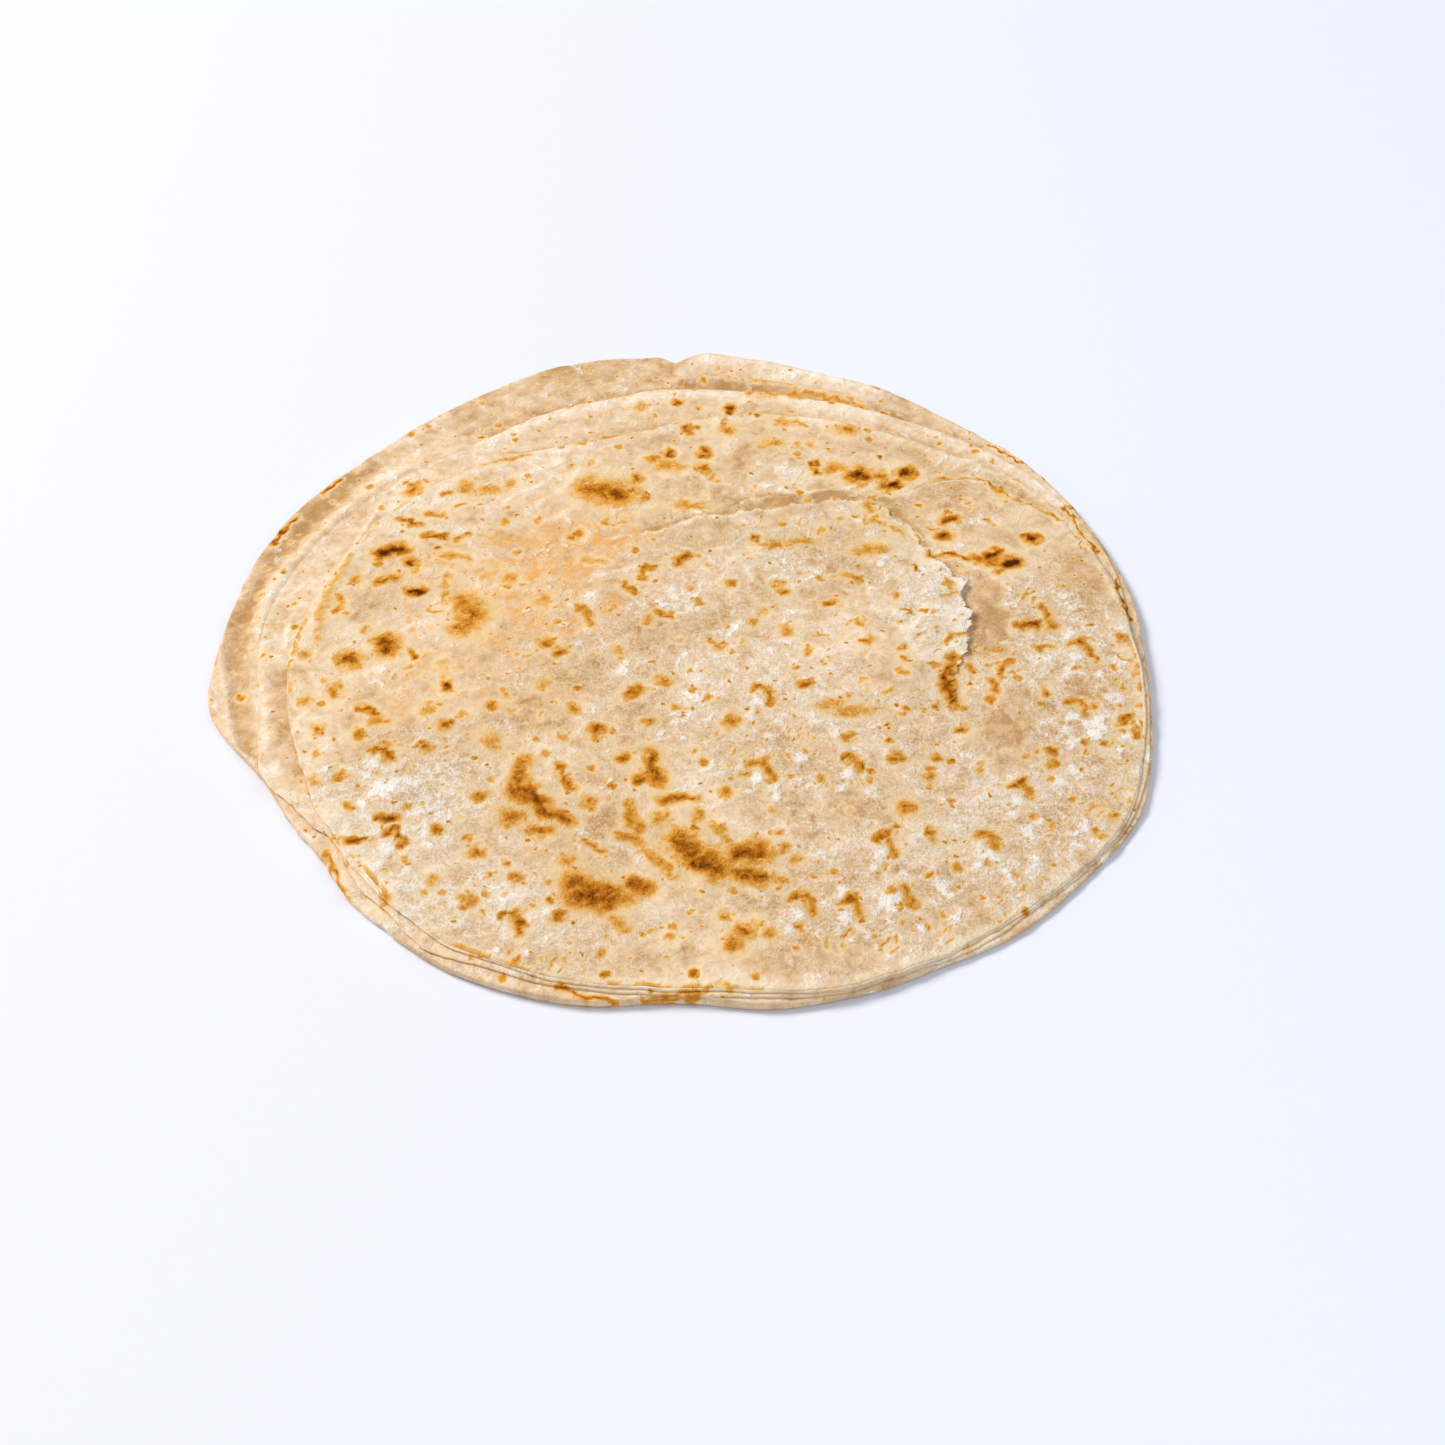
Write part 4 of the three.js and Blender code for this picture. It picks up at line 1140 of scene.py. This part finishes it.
# its top is a grid; rings of points carry its border round the edge and in along the underside
angle, reach = round_grid(ACROSS)
rim = sheet_rim(angle)
x, y = point(reach * (rim - SHEET_EDGE), angle)
grid = np.stack([x, y, sheet_level(x, y) + flesh(x, y)], -1).reshape(-1, 3)
index = np.arange(ACROSS * ACROSS).reshape(ACROSS, ACROSS)
border = np.concatenate([index[:-1, -1], index[-1, :0:-1], index[:0:-1, 0], index[0, :-1]])
rim_angle = angle.ravel()[border]
rim_here = sheet_rim(rim_angle)
crest = grid[border, 2]
half = SHEET_THICKNESS / 2
rings = []
for way in np.radians([40, 0, -40, -75]):
    out = SHEET_EDGE * np.cos(way)
    rings.append((*point(rim_here - SHEET_EDGE + out, rim_angle), crest - half + half * np.sin(way)))
for back, drop in ((1.2, 0.05), (3.0, 0.12), (6.0, 1.1)):
    rings.append((*point(rim_here - back, rim_angle), crest - SHEET_THICKNESS - drop))
x, y = point(rim_here * 0.6, rim_angle)
rings.append((x, y, SHEET_MIDDLE - thinning(x, y)))
below = np.stack(rings).transpose(0, 2, 1).reshape(-1, 3)
places = np.vstack([grid, below, [[0.0, 0.0, SHEET_MIDDLE]]])
loops = np.vstack([border, ACROSS**2 + np.arange(len(below)).reshape(len(rings), -1)])
quads = np.vstack([grid_faces(index.T), grid_faces(closed(loops))])
top_sheet = dough_piece("top_sheet", places, quads, fan(len(places) - 1, loops[-1]))

# golden along its edge; pale just inside it and on its rounded edge, partly a painted highlight where light
# catches it; and darker beside the torn skin, with a painted shadow along the skin's edge and a wider,
# fainter band of painted shade beyond it
inwards = ((1.0 - reach) * rim).ravel()
gold = ((0.6, 226, 276, 6), (0.5, 20, 40, 4), (0.45, 150, 190, 10))
edge = bell(inwards, 1.1) * along_rim(angle.ravel(), 0.3, *gold)
edge = np.concatenate([edge, np.tile(along_rim(rim_angle, 0.3, *gold), len(rings)), [0.0]])
outside, torn_here = beyond_skin(grid[:, 0], grid[:, 1])
pale = 0.8 * bell(inwards - 0.8, 1.4)
pale -= torn_here * (1.6 * bell(outside - 0.9, 0.8) + 0.5 * bell(outside - 3.0, 3.0))
season(top_sheet, edge, np.concatenate([pale, np.full(len(below) + 1, 0.8)]))
bake(top_sheet)
set_on_bread(top_sheet)


# ---- The torn skin ---------------------------------------------------------------------------
# The outermost skin of the top sheet, as thin as paper, where it is torn: along the back and down
# to a flake on the right. Away from its torn edge it is one with the sheet.

ALONG, DEEP = 900, 46
SKIN_DEPTH = 15.0  # how far in from its edge it is a piece of its own
SKIN_THICKNESS = 0.16
SKIN_SUNK, SKIN_LIFT, SKIN_CURL = 0.12, 0.46, 0.16  # below the sheet's level, and its rises above that

way = np.linspace(skin_angles[0] + 1.0, skin_angles[-1] - 1.0, ALONG)
torn_here = skin_torn_here(way)
torn_edge = np.interp(way, skin_angles, skin_radii)
for depth, size, seed, where in ((0.3, 2.6, 91, 1.0), (0.15, 0.9, 92, 1.0), (0.5, 7.0, 94, torn_here)):
    torn_edge = torn_edge + depth * unevenness(way, 0.0, size, seed) * where
share = np.linspace(0.0, 1.0, DEEP)[:, None] ** 1.3
back_in = SKIN_DEPTH * (1.0 - share)
x, y = point(torn_edge - back_in, way)
x, y = CROWN[0] + SKIN_CENTRE[0] + x, CROWN[1] + SKIN_CENTRE[1] + y

# it stands clear of the sheet near its torn edge, most at the flake, and curls up here and there
at_flake = ease(way, 0.0, 14.0) * (1.0 - ease(way, 38.0, 50.0))
standing = torn_here * (1.0 - ease(back_in, 8.0, SKIN_DEPTH)) * (1.0 + 0.9 * at_flake)
standing *= 1.0 - 0.5 * ease(way, 96.0, 116.0)
curl = SKIN_CURL * np.clip(unevenness(way, 0.0, 6.0, 93), -0.3, 2.0) * bell(back_in, 2.2) * torn_here
z = sheet_level(x, y, 0.0) + flesh(x, y) - SKIN_SUNK + SKIN_LIFT * standing + curl
places = np.stack([x, y, z], -1).reshape(-1, 3)
index = np.arange(len(places)).reshape(DEEP, ALONG)
low = index + len(places)
sides = (index[-1], index[0, ::-1], index[:, 0], index[::-1, -1])
quads = [grid_faces(index), grid_faces(low.T)]
quads += [grid_faces(np.stack([side, side + len(places)])) for side in sides]
places = np.vstack([places, places - [0.0, 0.0, SKIN_THICKNESS]])
torn_skin = dough_piece("torn_skin", places, np.vstack(quads), np.zeros((0, 3), int))
edge = bell(back_in, 0.7) * 0.35 * torn_here
# paler along its torn edge, partly a painted highlight where light catches it, and paler over the flake
pale = bell(back_in, 1.2) * (1.5 + 0.6 * at_flake) + 1.5 * at_flake * bell(back_in, 8.0)
season(torn_skin, np.tile(edge.ravel(), 2), np.tile(pale.ravel(), 2))
bake(torn_skin)
set_on_bread(torn_skin)


# ---- The floor and the lights ----------------------------------------------------------------
# A plain pale floor that the bread lies on, with soft light from the back left, a weak fill from the
# front right and a pale blue room around.

floor_mesh = bpy.data.meshes.new("floor")
floor_mesh.from_pydata([(-2, -2, 0), (2, -2, 0), (2, 2, 0), (-2, 2, 0)], [], [(0, 1, 2, 3)])
floor = bpy.data.objects.new("floor", floor_mesh)
bpy.context.scene.collection.objects.link(floor)
paper = bpy.data.materials.new("pale_floor")
paper.use_nodes = True
paper.node_tree.nodes["Principled BSDF"].inputs["Base Color"].default_value = shade("e9ecf6")
paper.node_tree.nodes["Principled BSDF"].inputs["Roughness"].default_value = 0.9
floor_mesh.materials.append(paper)


def soft_light(name, place, size, power, colour):
    """A square area light that looks at the bread."""
    lamp = bpy.data.lights.new(name, "AREA")
    lamp.size = size
    lamp.energy = power
    lamp.color = colour
    holder = bpy.data.objects.new(name, lamp)
    bpy.context.scene.collection.objects.link(holder)
    holder.location = place
    holder.rotation_mode = "QUATERNION"
    holder.rotation_quaternion = (-Vector(place)).to_track_quat("-Z", "Y")


soft_light("window", (-2.0, 0.85, 2.25), size=1.15, power=78.8, colour=(1.0, 0.985, 0.96))
soft_light("fill", (0.6, -0.7, 0.9), size=1.0, power=3.0, colour=(0.94, 0.97, 1.0))
world = bpy.data.worlds.new("room")
world.use_nodes = True
world.node_tree.nodes["Background"].inputs["Color"].default_value = (0.9, 0.93, 1.0, 1.0)
world.node_tree.nodes["Background"].inputs["Strength"].default_value = 0.5
bpy.context.scene.world = world
bpy.context.scene.view_settings.view_transform = "Standard"
